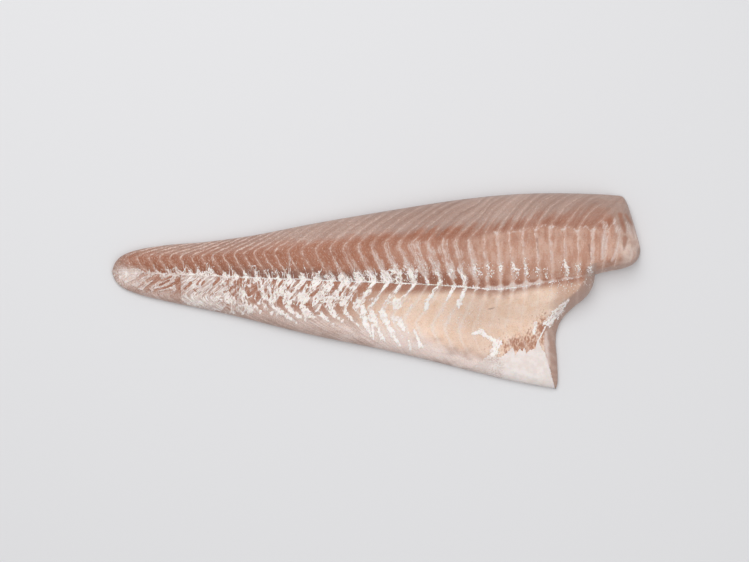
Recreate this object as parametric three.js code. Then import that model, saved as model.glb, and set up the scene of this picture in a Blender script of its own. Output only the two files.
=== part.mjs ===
// A whole skinless cod fillet, lying on its boned side with the skinned side up.
//
// Millimetres, +Z up. +X runs from the tail tip to the head end, +Y points to the back edge,
// and the origin is at the middle of the underside. The fillet is one closed solid: a grid of
// points is laid over its outline, lifted to the flesh's thickness for the top and kept flat
// for the underside, and the two layers share the points of the rim.

import * as THREE from 'three';

// Driving dimensions: the outline's corners.
const TAIL_TIP = [-210, 15.4];
const NOTCH = [174, 13];
const LOIN_CORNER = [209.9, 32];
const BACK_CORNER = [193, 75.8];
const BELLY_CORNER = [142.6, -78];

// Driving dimensions: thicknesses.
const TAIL_THICKNESS = 8;
const LOIN_THICKNESS = 28;
const THICKEST_X = 130;
const MIDLINE_SHARE = 0.88;
const TAIL_FLAP_SHARE = 0.8;
const HEAD_FLAP_SHARE = 0.34;
const FLAP_THINS_FROM_X = -90;
const FLAP_THIN_AT_X = 120;
const CROWN_AT = 0.45;
const FLAP_AT = 0.62;

// Driving dimensions: how the top rolls down to the rim. The grown edges roll over a share of
// the thickness there, the loin's cut face and the trimmed cut around the notch over a width of
// their own. A fullness of 2 is a quarter of an ellipse, and less is nearer a bevel.
const GROWN_ROLL_SHARE = 0.85;
const GROWN_FULLNESS = 2;
const LOIN_FACE_WIDTH = 19;
const TRIM_CUT_WIDTH = 10;
const CUT_FULLNESS = 1.7;
const RIM_HEIGHT = 2.4;
const UNDERSIDE_ROUND = 5;
const GROOVE_DEPTH = 0.9;
const GROOVE_HALF_WIDTH = 5;

// The grid: stations along the fillet, and rows on each side of the midline.
const STATIONS = 74;
const ROWS = 14;
const STATION_CROWDING = 0.6;
const ROW_CROWDING = 0.8;
const HEAD_WARP = 4;
const EDGE_SAMPLES = 240;

const FLESH = { color: 0xd9b09c, roughness: 0.42, metalness: 0 };

// The outline's edges and the midline between back and belly, drawn from the tail or from the
// notch where the belly flap's cut meets the loin. The loin's end is an undercut beside the
// notch and then the cut face.
const BACK_EDGE = smoothCurve([
  TAIL_TIP, [-207.4, 22.4], [-202, 27.9], [-190, 32.5], [-165, 36.6], [-136, 38.9],
  [-98, 44.1], [-50, 53.5], [20, 65.5], [65, 72.4], [105, 76.6], [140, 77.8], [180, 76.8],
  BACK_CORNER,
]);
const BELLY_EDGE = smoothCurve([
  TAIL_TIP, [-207.3, 8.4], [-202, 3], [-190, -2.2], [-170, -7.4], [-120, -18.1],
  [-50, -35.3], [0, -45.6], [40, -54.7], [105, -70.9], BELLY_CORNER,
]);
const MIDLINE = smoothCurve([
  TAIL_TIP, [-155, 13], [-60, 9], [44, 5], [98, 1.6], [131, 6.2], NOTCH,
]);
const UNDERCUT_POINTS = [NOTCH, [183, 15.2], [196.3, 18], [204, 21.2], [208.4, 26.2], LOIN_CORNER];
const FACE_POINTS = [LOIN_CORNER, [206.6, 46.8], [202.2, 61.6], [199, 70.6], [196.2, 74.8], BACK_CORNER];
const LOIN_UNDERCUT = smoothCurve(UNDERCUT_POINTS);
const LOIN_FACE = smoothCurve(FACE_POINTS);
const LOIN_END = smoothCurve([...UNDERCUT_POINTS, ...FACE_POINTS.slice(1)]);
const FLAP_END = smoothCurve([
  NOTCH, [172.7, 5.4], [167.6, -4], [156, -13.8], [147, -23.5], [143.1, -34],
  [142.7, -41], [143.9, -56], [144.1, -74], BELLY_CORNER,
]);

function smoothCurve(points) {
  return new THREE.CatmullRomCurve3(points.map(([x, y]) => new THREE.Vector3(x, y, 0)));
}

function blend(a, b, share) {
  return a + (b - a) * share;
}

function smoothStep(value) {
  return THREE.MathUtils.smoothstep(value, 0, 1);
}

// Points of a curve at even steps, for measuring how far a place is from it.
const EDGE_LINES = new Map();
for (const curve of [BACK_EDGE, BELLY_EDGE, MIDLINE, LOIN_UNDERCUT, LOIN_FACE, FLAP_END]) {
  EDGE_LINES.set(curve, curve.getSpacedPoints(EDGE_SAMPLES));
}

function distanceTo(curve, place) {
  const line = EDGE_LINES.get(curve);
  const piece = new THREE.Line3();
  const nearest = new THREE.Vector3();
  let least = Infinity;
  for (let i = 0; i < EDGE_SAMPLES; i += 1) {
    piece.set(line[i], line[i + 1]).closestPointToPoint(place, true, nearest);
    least = Math.min(least, nearest.distanceTo(place));
  }
  return least;
}

// A place in plan. along runs from 0 at the tail to 1 at the head end, and across from -1 at
// the belly edge over 0 at the midline to 1 at the back edge. Straight rungs join the midline
// to the edge, and towards the head they bend until the last one is the cut end itself.
function planPoint(along, across) {
  const edge = across < 0 ? BELLY_EDGE : BACK_EDGE;
  const end = across < 0 ? FLAP_END : LOIN_END;
  const reach = Math.abs(across);
  const rung = MIDLINE.getPointAt(along).lerp(edge.getPointAt(along), reach);
  const straightEnd = MIDLINE.getPoint(1).lerp(edge.getPoint(1), reach);
  const bend = end.getPointAt(reach).sub(straightEnd);
  return rung.addScaledVector(bend, along ** HEAD_WARP);
}

// The flesh's full thickness: it swells from the tail to the loin, is highest on the back's
// muscle, a little lower at the midline, and thins to the belly flap.
function thickness(place, across) {
  const swell = Math.min((place.x - TAIL_TIP[0]) / (THICKEST_X - TAIL_TIP[0]), 1);
  const crown = blend(TAIL_THICKNESS, LOIN_THICKNESS, Math.sin((Math.PI / 2) * Math.max(swell, 0)));
  const middle = crown * MIDLINE_SHARE;
  if (across >= 0) {
    return blend(middle, crown, smoothStep(across / CROWN_AT));
  }
  const thinning = smoothStep((place.x - FLAP_THINS_FROM_X) / (FLAP_THIN_AT_X - FLAP_THINS_FROM_X));
  const flap = crown * blend(TAIL_FLAP_SHARE, HEAD_FLAP_SHARE, thinning);
  return blend(middle, flap, smoothStep(-across / FLAP_AT));
}

// A quarter of a rounded shoulder: 0 at the rim, and 1 from a reach of 1 inwards.
function roll(reach, fullness) {
  return (1 - (1 - Math.min(reach, 1)) ** fullness) ** (1 / fullness);
}

// The top's height: the thickness, rolled down to the rim at each edge and dented by the
// shallow groove along the midline.
function topHeight(place, across) {
  const full = thickness(place, across);
  const groove = GROOVE_DEPTH * Math.exp(-((distanceTo(MIDLINE, place) / GROOVE_HALF_WIDTH) ** 2));
  const grownRoll = full * GROWN_ROLL_SHARE;
  const backShare = roll(distanceTo(BACK_EDGE, place) / grownRoll, GROWN_FULLNESS);
  const bellyShare = roll(distanceTo(BELLY_EDGE, place) / grownRoll, GROWN_FULLNESS);
  const faceShare = roll(distanceTo(LOIN_FACE, place) / LOIN_FACE_WIDTH, CUT_FULLNESS);
  const fromTrim = Math.min(distanceTo(LOIN_UNDERCUT, place), distanceTo(FLAP_END, place));
  const trimShare = roll(fromTrim / TRIM_CUT_WIDTH, CUT_FULLNESS);
  const share = backShare * bellyShare * faceShare * trimShare;
  return RIM_HEIGHT + (full - groove - RIM_HEIGHT) * share;
}

// The underside's height: flat on the ground, and rounded up to the rim at the outline.
function undersideHeight(place) {
  const rim = [BACK_EDGE, BELLY_EDGE, LOIN_UNDERCUT, LOIN_FACE, FLAP_END];
  const inward = Math.min(...rim.map((curve) => distanceTo(curve, place)));
  return RIM_HEIGHT * (1 - roll(inward / UNDERSIDE_ROUND, GROWN_FULLNESS));
}

// Stations stand closer together at the tail and the head end, rows closer to the edges.
function stationAlong(i) {
  const even = i / STATIONS;
  return blend(even, (1 - Math.cos(Math.PI * even)) / 2, STATION_CROWDING);
}

function rowAcross(j) {
  const even = j / ROWS - 1;
  return blend(even, Math.sin((Math.PI / 2) * even), ROW_CROWDING);
}

// The closed surface. Both layers meet in the rim, which is the outer rows and the last
// station, and in the tail tip, where every row starts.
function filletGeometry() {
  const positions = [];
  const addPoint = (place, z) => positions.push(place.x, place.y, z) / 3 - 1;
  const tip = addPoint(planPoint(0, 0), RIM_HEIGHT);
  const lastRow = 2 * ROWS;
  const top = [new Array(lastRow + 1).fill(tip)];
  const underside = [new Array(lastRow + 1).fill(tip)];
  for (let i = 1; i <= STATIONS; i += 1) {
    top.push([]);
    underside.push([]);
    for (let j = 0; j <= lastRow; j += 1) {
      const place = planPoint(stationAlong(i), rowAcross(j));
      const onRim = j === 0 || j === lastRow || i === STATIONS;
      top[i][j] = addPoint(place, onRim ? RIM_HEIGHT : topHeight(place, rowAcross(j)));
      underside[i][j] = onRim ? top[i][j] : addPoint(place, undersideHeight(place));
    }
  }

  const faces = [];
  const addFace = (a, b, c) => {
    if (a !== b && b !== c && c !== a) {
      faces.push(a, b, c);
    }
  };
  for (let i = 0; i < STATIONS; i += 1) {
    for (let j = 0; j < lastRow; j += 1) {
      addFace(top[i][j], top[i + 1][j], top[i + 1][j + 1]);
      addFace(top[i][j], top[i + 1][j + 1], top[i][j + 1]);
      addFace(underside[i][j], underside[i + 1][j + 1], underside[i + 1][j]);
      addFace(underside[i][j], underside[i][j + 1], underside[i + 1][j + 1]);
    }
  }

  const geometry = new THREE.BufferGeometry();
  geometry.setAttribute('position', new THREE.Float32BufferAttribute(positions, 3));
  geometry.setIndex(faces);
  geometry.computeBoundingBox();
  const { min, max } = geometry.boundingBox;
  geometry.translate(-(min.x + max.x) / 2, -(min.y + max.y) / 2, -min.z);
  geometry.computeVertexNormals();
  return geometry;
}

const fillet = new THREE.Mesh(filletGeometry(), new THREE.MeshStandardMaterial(FLESH));
fillet.name = 'cod_fillet';

const part = new THREE.Group();
part.name = 'part';
part.add(fillet);

export default part;
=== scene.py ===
"""A raw skinless cod fillet on a pale studio floor, seen from straight above.

The fillet is one closed surface worked out on a grid of stations from the tail to the head end
and rows from the belly edge to the back edge. Its muscle segments, its torn white membrane and
its colours are fields over that grid: numbers that the finish reads as attributes.
"""

import functools
import logging
import math
from dataclasses import dataclass, field
from enum import Enum

import bpy
import numpy as np
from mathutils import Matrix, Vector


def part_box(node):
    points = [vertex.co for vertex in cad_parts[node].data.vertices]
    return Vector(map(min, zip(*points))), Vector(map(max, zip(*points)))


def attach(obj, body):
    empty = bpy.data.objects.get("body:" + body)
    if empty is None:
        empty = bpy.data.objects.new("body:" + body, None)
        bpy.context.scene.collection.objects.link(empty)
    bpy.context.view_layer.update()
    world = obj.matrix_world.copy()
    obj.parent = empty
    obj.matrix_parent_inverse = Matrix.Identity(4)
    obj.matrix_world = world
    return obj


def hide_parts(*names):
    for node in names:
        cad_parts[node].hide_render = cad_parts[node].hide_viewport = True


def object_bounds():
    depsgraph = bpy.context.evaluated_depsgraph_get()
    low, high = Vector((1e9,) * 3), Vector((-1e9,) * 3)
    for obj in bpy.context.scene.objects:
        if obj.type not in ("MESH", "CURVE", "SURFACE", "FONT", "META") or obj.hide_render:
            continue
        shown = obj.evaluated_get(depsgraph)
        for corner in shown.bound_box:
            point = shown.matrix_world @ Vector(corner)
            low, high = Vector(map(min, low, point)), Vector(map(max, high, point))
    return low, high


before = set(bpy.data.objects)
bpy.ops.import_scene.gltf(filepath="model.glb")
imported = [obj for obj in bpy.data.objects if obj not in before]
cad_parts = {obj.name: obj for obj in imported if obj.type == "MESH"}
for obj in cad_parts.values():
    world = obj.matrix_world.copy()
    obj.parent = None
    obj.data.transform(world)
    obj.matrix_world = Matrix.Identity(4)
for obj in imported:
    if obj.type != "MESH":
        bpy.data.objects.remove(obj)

logging.basicConfig(level=logging.INFO, format="%(message)s")
LOG = logging.getLogger("cod_fillet")

CAD_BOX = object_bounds()
NODE = "cod_fillet"
MM = 0.001
BARE = -1.5  # the level of a place well off the membrane
SEAM_TOP = 0.4  # up to here above the midline lace hangs below it, in millimetres

Field = np.ndarray
Pair = tuple[float, float]
Table = tuple[Pair, ...]
Socket = bpy.types.NodeSocket
Colour = tuple[float, float, float]


# -------- plain sums on whole arrays


def smooth_step(low: float | Field, high: float | Field, value: Field) -> Field:
    """0 below low, 1 above high, and 3t² - 2t³ at a share t of the way between them."""
    t = np.clip((value - low) / (np.asarray(high) - low), 0.0, 1.0)
    return t * t * (3.0 - 2.0 * t)


def blend(a: float | Field, b: float | Field, share: Field) -> Field:
    """a at share 0 and b at share 1, in a straight line between them."""
    return a + (b - a) * share


def lookup(table: Table, value: Field) -> Field:
    """Reads a table of (place, number) pairs in straight lines between its places."""
    places, numbers = np.array(table, float).T
    return np.interp(value, places, numbers)


def chance(number: Field, seed: int) -> Field:
    """A random share for each whole number: what is after the point of a large sine."""
    return np.modf(np.abs(np.sin(number * 12.9898 + seed * 78.233)) * 43758.5453)[0]


def hinge(value: Field, softness: float | Field) -> Field:
    """Half of v + sqrt(v² + softness²): 0 below 0 and v above it, with a soft corner."""
    return 0.5 * (value + np.sqrt(value * value + np.square(softness)))


def bell(value: Field, width: float | Field) -> Field:
    """A bell of height 1 over 0: e to the power of -(v / width)²."""
    return np.exp(-np.square(value / width))


def fade(low: float | Field, high: float | Field, value: Field) -> Field:
    """1 below low and 0 above high: what smooth_step leaves of 1."""
    return 1.0 - smooth_step(low, high, value)


def largest(*parts: float | Field) -> Field:
    """The largest of the parts at each place."""
    return functools.reduce(np.maximum, parts)


def off_line(x: Field, y: Field, start: Pair, end: Pair) -> tuple[Field, Field, Field]:
    """How places lie beside the straight line from start to end.

    Args:
        x: The places' x.
        y: The places' y.
        start: Where the line starts.
        end: Where it ends.

    Returns:
        The nearest point's share of the way, and how far off it a place is in x and in y.
    """
    (ax, ay), (bx, by) = start, end
    along = ((x - ax) * (bx - ax) + (y - ay) * (by - ay)) / ((bx - ax) ** 2 + (by - ay) ** 2)
    along = np.clip(along, 0.0, 1.0)
    return along, x - ax - along * (bx - ax), y - ay - along * (by - ay)


@dataclass(frozen=True)
class LatticeNoise:
    """Smooth noise from random slopes on a lattice of whole numbers.

    Attributes:
        seed: Which noise it is. The same seed always gives the same noise.
    """

    seed: int

    def _slope(self, column: Field, row: Field, du: Field, dv: Field) -> Field:
        """The height at (du, dv) from a lattice point, on that point's random slope."""
        mixed = (column * 374761393 + row * 668265263 + self.seed * 974634777) & 0xFFFFFFFF
        mixed = ((mixed ^ (mixed >> 13)) * 1274126177) & 0xFFFFFFFF
        angle = (mixed ^ (mixed >> 16)) * (2.0 * math.pi / 4294967296.0)
        return np.cos(angle) * du + np.sin(angle) * dv

    def level(self, u: Field, v: Field) -> Field:
        """One layer of noise, from about -1 to 1, with bumps about one unit wide."""
        column, row = np.floor(u).astype(np.int64), np.floor(v).astype(np.int64)
        du, dv = u - column, v - row
        su = du * du * du * (du * (du * 6.0 - 15.0) + 10.0)
        sv = dv * dv * dv * (dv * (dv * 6.0 - 15.0) + 10.0)
        low, high = (
            blend(
                self._slope(column, row + up, du, dv - up),
                self._slope(column + 1, row + up, du - 1.0, dv - up),
                su,
            )
            for up in (0, 1)
        )
        return 1.5 * blend(low, high, sv)

    def layers(self, u: Field, v: Field, count: int = 3) -> Field:
        """A sum of layers, each twice as fine and half as high as the one before."""
        total = np.zeros(np.broadcast(u, v).shape)
        for layer in range(count):
            scale = 2.0**layer
            total += self.level(u * scale + 17.3 * layer, v * scale - 9.1 * layer) / scale
        return total


@dataclass(frozen=True)
class SmoothCurve:
    """A plan curve through a few points, in millimetres, with its samples at even steps.

    Between two points it is a cubic whose end slopes come from the neighbouring points, each
    weighted by the square root of its distance. That keeps it from overshooting.

    Attributes:
        points: The places that the curve passes through.
        steps: How many even steps the sampled line has.
    """

    points: Table
    steps: int = 240

    def line(self) -> Field:
        """The curve as a line of steps + 1 places at even distances, shape (steps + 1, 2)."""
        place = np.array(self.points, float)
        place = np.vstack([2 * place[0] - place[1], place, 2 * place[-1] - place[-2]])
        before, start, end, after = place[:-3], place[1:-2], place[2:-1], place[3:]
        gap0 = np.sqrt(np.linalg.norm(start - before, axis=1))[:, None]
        gap1 = np.sqrt(np.linalg.norm(end - start, axis=1))[:, None]
        gap2 = np.sqrt(np.linalg.norm(after - end, axis=1))[:, None]
        leave = (start - before) / gap0 - (end - before) / (gap0 + gap1) + (end - start) / gap1
        arrive = (end - start) / gap1 - (after - start) / (gap1 + gap2) + (after - end) / gap2
        t = np.linspace(0.0, 1.0, 60, endpoint=False)[None, :, None]
        s, e = start[:, None], end[:, None]
        m0, m1 = (leave * gap1)[:, None], (arrive * gap1)[:, None]
        cubic = (
            (2 * t**3 - 3 * t**2 + 1) * s
            + (t**3 - 2 * t**2 + t) * m0
            + (3 * t**2 - 2 * t**3) * e
            + (t**3 - t**2) * m1
        )
        dense = np.vstack([cubic.reshape(-1, 2), place[-2]])
        walked = np.append(0.0, np.cumsum(np.linalg.norm(np.diff(dense, axis=0), axis=1)))
        even = np.linspace(0.0, walked[-1], self.steps + 1)
        return np.stack([np.interp(even, walked, dense[:, k]) for k in (0, 1)], axis=1)

    def at(self, share: Field) -> Field:
        """The places at shares of the curve's length, shape (..., 2)."""
        line = self.line()
        shares = np.linspace(0.0, 1.0, len(line))
        return np.stack([np.interp(share, shares, line[:, k]) for k in (0, 1)], axis=-1)

    def distance(self, x: Field, y: Field) -> Field:
        """How far each place at x and y is from the nearest point of the curve."""
        line = self.line()
        nearest = np.full(np.shape(x), np.inf)
        for start, end in zip(line[:-1], line[1:]):
            _, dx, dy = off_line(x, y, start, end)
            nearest = np.minimum(nearest, dx * dx + dy * dy)
        return np.sqrt(nearest)


# -------- the fillet's shape


TAIL_TIP = (-210.0, 15.4)
NOTCH = (174.0, 13.0)
LOIN_CORNER = (209.9, 32.0)
BACK_CORNER = (193.0, 75.8)
BELLY_CORNER = (142.6, -78.0)


@dataclass(frozen=True)
class Outline:
    """The fillet seen from above, in millimetres about the middle of its box.

    Attributes:
        back: The grown edge along the back, from the tail.
        belly: The grown edge along the belly, from the tail.
        midline: The seam between back and belly muscle, from the tail to the notch.
        undercut: The trimmed cut from the notch to the loin's lower corner.
        face: The loin's cut face, up to the back.
        flap: The trimmed cut from the notch down to the belly.
        head_warp: How late the rungs start to bend like the cut end.
    """

    back: SmoothCurve = SmoothCurve((
        TAIL_TIP, (-207.4, 22.4), (-202, 27.9), (-190, 32.5), (-165, 36.6), (-136, 38.9),
        (-98, 44.1), (-50, 53.5), (20, 65.5), (65, 72.4), (105, 76.6), (140, 77.8),
        (180, 76.8), BACK_CORNER,
    ))
    belly: SmoothCurve = SmoothCurve((
        TAIL_TIP, (-207.3, 8.4), (-202, 3), (-190, -2.2), (-170, -7.4), (-120, -18.1),
        (-50, -35.3), (0, -45.6), (40, -54.7), (105, -70.9), BELLY_CORNER,
    ))
    midline: SmoothCurve = SmoothCurve((
        TAIL_TIP, (-155, 13), (-60, 9), (44, 5), (98, 1.6), (131, 6.2), NOTCH,
    ))
    undercut: SmoothCurve = SmoothCurve((
        NOTCH, (183, 15.2), (196.3, 18), (204, 21.2), (208.4, 26.2), LOIN_CORNER,
    ))
    face: SmoothCurve = SmoothCurve((
        LOIN_CORNER, (206.6, 46.8), (202.2, 61.6), (199, 70.6), (196.2, 74.8), BACK_CORNER,
    ))
    flap: SmoothCurve = SmoothCurve((
        NOTCH, (172.7, 5.4), (167.6, -4), (156, -13.8), (147, -23.5), (143.1, -34),
        (142.7, -41), (143.9, -56), (144.1, -74), BELLY_CORNER,
    ))
    head_warp: float = 4.0

    def places(self, along: Field, across: Field) -> Field:
        """Plan places. Rungs join the midline to the edge and bend into the cut end.

        A place is the midline's point at the station, moved towards the edge's point by the
        row's share, plus the cut end's bend times the station's share to the power head_warp.

        Args:
            along: 0 at the tail to 1 at the head end, shape (stations, 1).
            across: -1 at the belly edge to 1 at the back edge, shape (1, rows).

        Returns:
            The places, shape (stations, rows, 2).
        """
        reach = np.abs(across)[..., None]
        end_line = SmoothCurve(self.undercut.points + self.face.points[1:])
        middle = self.midline.at(along)
        sides = []
        for edge, end in ((self.belly, self.flap), (self.back, end_line)):
            rung = blend(middle, edge.at(along), reach)
            straight_end = blend(self.midline.at(1.0), edge.at(1.0), reach)
            bend = end.at(np.abs(across)) - straight_end
            sides.append(rung + bend * along[..., None] ** self.head_warp)
        return np.where(across[..., None] < 0, sides[0], sides[1])

    def seam_height(self, x: Field) -> Field:
        """The midline's y at each x, carried on in a straight line past the notch."""
        line = self.midline.line()
        (ax, ay), (bx, by) = line[-8], line[-1]
        beyond = by + (x - bx) * (by - ay) / (bx - ax)
        return np.where(x > bx, beyond, np.interp(x, line[:, 0], line[:, 1]))


@dataclass
class Places:
    """Plan places with what they are measured by, in millimetres.

    Attributes:
        x: Along the fillet, towards the head end.
        y: Across the fillet, towards the back.
        above: How far above the midline's seam, negative on the belly side.
        to_back: How far from the back edge.
        to_belly: How far from the belly edge.
        to_face: How far from the loin's cut face.
        to_trim: How far from the trimmed cuts around the notch.
        to_seam: How far from the midline.
    """

    x: Field
    y: Field
    above: Field
    to_back: Field
    to_belly: Field
    to_face: Field
    to_trim: Field
    to_seam: Field

    @classmethod
    def measured(cls, outline: Outline, x: Field, y: Field) -> "Places":
        """Measures flat arrays of places against an outline."""
        return cls(
            x=x,
            y=y,
            above=y - outline.seam_height(x),
            to_back=outline.back.distance(x, y),
            to_belly=outline.belly.distance(x, y),
            to_face=outline.face.distance(x, y),
            to_trim=np.minimum(outline.undercut.distance(x, y), outline.flap.distance(x, y)),
            to_seam=outline.midline.distance(x, y),
        )

    def to_rim(self) -> Field:
        """How far from the nearest edge of any kind."""
        return -largest(-self.to_back, -self.to_belly, -self.to_face, -self.to_trim)


@dataclass(frozen=True)
class Body:
    """How thick the flesh is and how it rolls down to its edges, in millimetres.

    Attributes:
        tail: Thickness at the tail tip.
        loin: Thickness of the loin.
        thickest_x: Where the loin is thickest.
        midline_share: The midline's thickness, as a share of the back muscle's.
        tail_flap_share: The belly side's share near the tail.
        head_flap_share: The belly flap's share near the head.
        flap_thins: From and to which x the belly side thins.
        crown_at: How far across the back muscle is thickest.
        flap_at: How far across the belly flap is thinnest.
        grown_roll_share: How wide a grown edge rolls, as a share of the thickness.
        face_width: How wide the loin's cut face slopes.
        trim_width: How wide the trimmed cuts slope.
        grown_fullness: The grown edges' roundness. 2 is an ellipse, and less is a bevel.
        cut_fullness: The cut edges' roundness.
        rim: The height of the rim, where top and underside meet.
        underside_round: How wide the underside rounds up to the rim.
        groove: Depth and half width of the midline's shallow groove.
    """

    tail: float = 8.0
    loin: float = 28.0
    thickest_x: float = 130.0
    midline_share: float = 0.88
    tail_flap_share: float = 0.8
    head_flap_share: float = 0.34
    flap_thins: Pair = (-90.0, 120.0)
    crown_at: float = 0.45
    flap_at: float = 0.62
    grown_roll_share: float = 0.85
    face_width: float = 19.0
    trim_width: float = 10.0
    grown_fullness: float = 2.0
    cut_fullness: float = 1.7
    rim: float = 2.4
    underside_round: float = 5.0
    groove: Pair = (0.9, 5.0)

    def thickness(self, x: Field, across: Field) -> Field:
        """The full thickness: a sine's rise from tail to loin, eased down to seam and flap."""
        rise = np.clip((x - TAIL_TIP[0]) / (self.thickest_x - TAIL_TIP[0]), 0.0, 1.0)
        crown = blend(self.tail, self.loin, np.sin(0.5 * math.pi * rise))
        middle = crown * self.midline_share
        thinned = smooth_step(*self.flap_thins, x)
        flap_share = blend(self.tail_flap_share, self.head_flap_share, thinned)
        back = blend(middle, crown, smooth_step(0.0, self.crown_at, across))
        belly = blend(middle, crown * flap_share, smooth_step(0.0, self.flap_at, -across))
        return np.where(across < 0, belly, back)

    @staticmethod
    def roll(reach: Field, fullness: float) -> Field:
        """A rounded shoulder: (1 - (1 - r)^f)^(1/f), 0 at the rim and 1 from a reach of 1 on."""
        left = 1.0 - np.clip(reach, 0.0, 1.0)
        return (1.0 - left**fullness) ** (1.0 / fullness)

    def top(self, at: Places, across: Field) -> Field:
        """The top's height: the thickness times each edge's roll, less the midline's groove."""
        full = self.thickness(at.x, across)
        depth, half_width = self.groove
        share = (
            self.roll(at.to_back / (full * self.grown_roll_share), self.grown_fullness)
            * self.roll(at.to_belly / (full * self.grown_roll_share), self.grown_fullness)
            * self.roll(at.to_face / self.face_width, self.cut_fullness)
            * self.roll(at.to_trim / self.trim_width, self.cut_fullness)
        )
        return self.rim + (full - depth * bell(at.to_seam, half_width) - self.rim) * share

    def underside(self, at: Places) -> Field:
        """The underside's height: 0, rounded up to the rim at the outline."""
        return self.rim * (1.0 - self.roll(at.to_rim() / self.underside_round, self.grown_fullness))


# -------- muscle segments


@dataclass
class Walls:
    """Where places lie among the walls between muscle segments.

    Attributes:
        count: The running number of walls from the tail: whole on a wall.
        spacing: The distance from wall to wall, in millimetres.
    """

    count: Field
    spacing: Field

    def nearest(self) -> Field:
        """The number of the nearest wall."""
        return np.round(self.count)

    def offset(self) -> Field:
        """How far past the nearest wall a place is, towards the head, in millimetres."""
        return (self.count - self.nearest()) * self.spacing

    def away(self) -> Field:
        """How far the nearest wall is, in millimetres."""
        return np.abs(self.offset())

    def between(self) -> Field:
        """0 on a wall, 1 half way between two."""
        return 2.0 * np.abs(self.count - self.nearest())


@dataclass(frozen=True)
class Muscle:
    """The muscle segments: a stack of W-shaped blocks whose walls show as thin lines.

    A wall starts at the back edge, runs to a bend that points at the tail, on to the midline,
    to a second bend on the belly side, and to the belly edge. The tables give, at each x, how
    far a wall moves towards the head for each millimetre across, and where it bends.

    Attributes:
        count_at: (x, number) of walls counted from the tail.
        back_bend: (x, height above the midline) of the bend on the back side.
        belly_bend: (x, depth below the midline) of the bend on the belly side.
        back_inner: (x, lean) between the midline and the bend on the back side.
        back_outer: (x, lean) beyond that bend.
        outer_curl: (x, extra lean at the back edge), as a share of back_outer.
        band: (x, width) from the bend to the back edge.
        belly_inner: (x, lean) between the midline and the bend on the belly side.
        belly_outer: (x, lean) beyond that bend.
        counted_above: How far above the midline the walls were counted.
        corner: (x, softness) of the bends.
        wander: How far a wall strays from its own line.
    """

    count_at: Table = (
        (-237, -6), (-185, 0), (-133.2, 6), (-81.5, 12), (-12.3, 18), (56.1, 24), (116.5, 30),
        (191.3, 37), (255, 43),
    )
    back_bend: Table = (
        (-187, 14), (-140, 16.5), (-60, 24), (-25, 28), (8, 31), (59, 36), (80, 39), (91, 44),
        (131, 44), (179, 34),
    )
    belly_bend: Table = (
        (-187, 15), (-140, 17), (-60, 19.5), (-20, 20.5), (5, 24), (28, 31.5), (60, 33),
        (110, 33), (179, 29),
    )
    back_inner: Table = (
        (-187, 0.9), (-140, 0.85), (-60, 0.62), (-25, 0.55), (8, 0.5), (59, 0.3), (85, 0.1),
        (131, 0.08), (170, 0.0), (195, -0.25),
    )
    back_outer: Table = (
        (-187, 4.2), (-140, 4.0), (-100, 2.6), (-60, 1.6), (-25, 1.4), (30, 1.15), (75, 0.9),
        (110, 0.65), (190, 0.6),
    )
    outer_curl: Table = ((-187, 0.0), (-100, 0.3), (-25, 0.9), (75, 1.6), (110, 2.4), (190, 2.4))
    band: Table = (
        (-187, 5), (-140, 9), (-60, 18), (8, 27), (59, 31), (91, 29), (131, 28), (179, 29),
    )
    belly_inner: Table = (
        (-187, 1.7), (-140, 1.2), (-60, 0.8), (30, 0.68), (72, 0.4), (110, 0.15), (179, 0.0),
    )
    belly_outer: Table = ((-187, 1.5), (-60, 1.0), (20, 0.65), (35, 0.45), (60, 0.25), (179, 0.2))
    counted_above: float = 20.7
    corner: Table = ((-187, 2.5), (-100, 2.4), (-20, 3.0), (50, 3.2), (95, 2.5))
    wander: float = 0.7

    def lean(self, x: Field, above: Field) -> Field:
        """How far a wall has moved towards the head since it left the midline."""
        up, down, corner = np.maximum(above, 0.0), np.maximum(-above, 0.0), lookup(self.corner, x)
        bend, inner = lookup(self.back_bend, x), lookup(self.back_inner, x)
        past = hinge(up - bend, corner) - hinge(-bend, corner)
        curl = 1.0 + 0.25 * lookup(self.outer_curl, x) * (past / lookup(self.band, x)) ** 3
        back = -inner * up + (inner + lookup(self.back_outer, x) * curl) * past
        low_bend, low_inner = lookup(self.belly_bend, x), lookup(self.belly_inner, x)
        below = hinge(down - low_bend, corner) - hinge(-low_bend, corner)
        flatter = 1.0 + 0.3 * np.square(below / 14.0)
        belly = -low_inner * down + (low_inner + lookup(self.belly_outer, x) * flatter) * below
        return np.where(above > 0, back, belly)

    def count(self, x: Field, above: Field) -> Field:
        """The running number of walls from the tail: whole on a wall, and between them part way."""
        on_midline = x - self.lean(x, above)
        counted = np.minimum(self.counted_above, lookup(self.back_bend, on_midline))
        return lookup(self.count_at, on_midline - lookup(self.back_inner, on_midline) * counted)

    def walls(self, x: Field, above: Field) -> Walls:
        """The walls at places. The spacing is 1 over the slope of the count.

        Args:
            x: The places' x.
            above: How far they are above the midline.

        Returns:
            The places' count and spacing.
        """
        step = 0.5
        across_x = self.count(x + step, above) - self.count(x - step, above)
        across_y = self.count(x, above + step) - self.count(x, above - step)
        stray = self.wander * LatticeNoise(21).layers(x / 8.0, above / 8.0, 3)
        spacing = 2.0 * step / np.maximum(np.hypot(across_x, across_y), 0.02)
        return Walls(self.count(x + stray, above), np.minimum(spacing, 12.0))


# -------- membrane and colours


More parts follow.
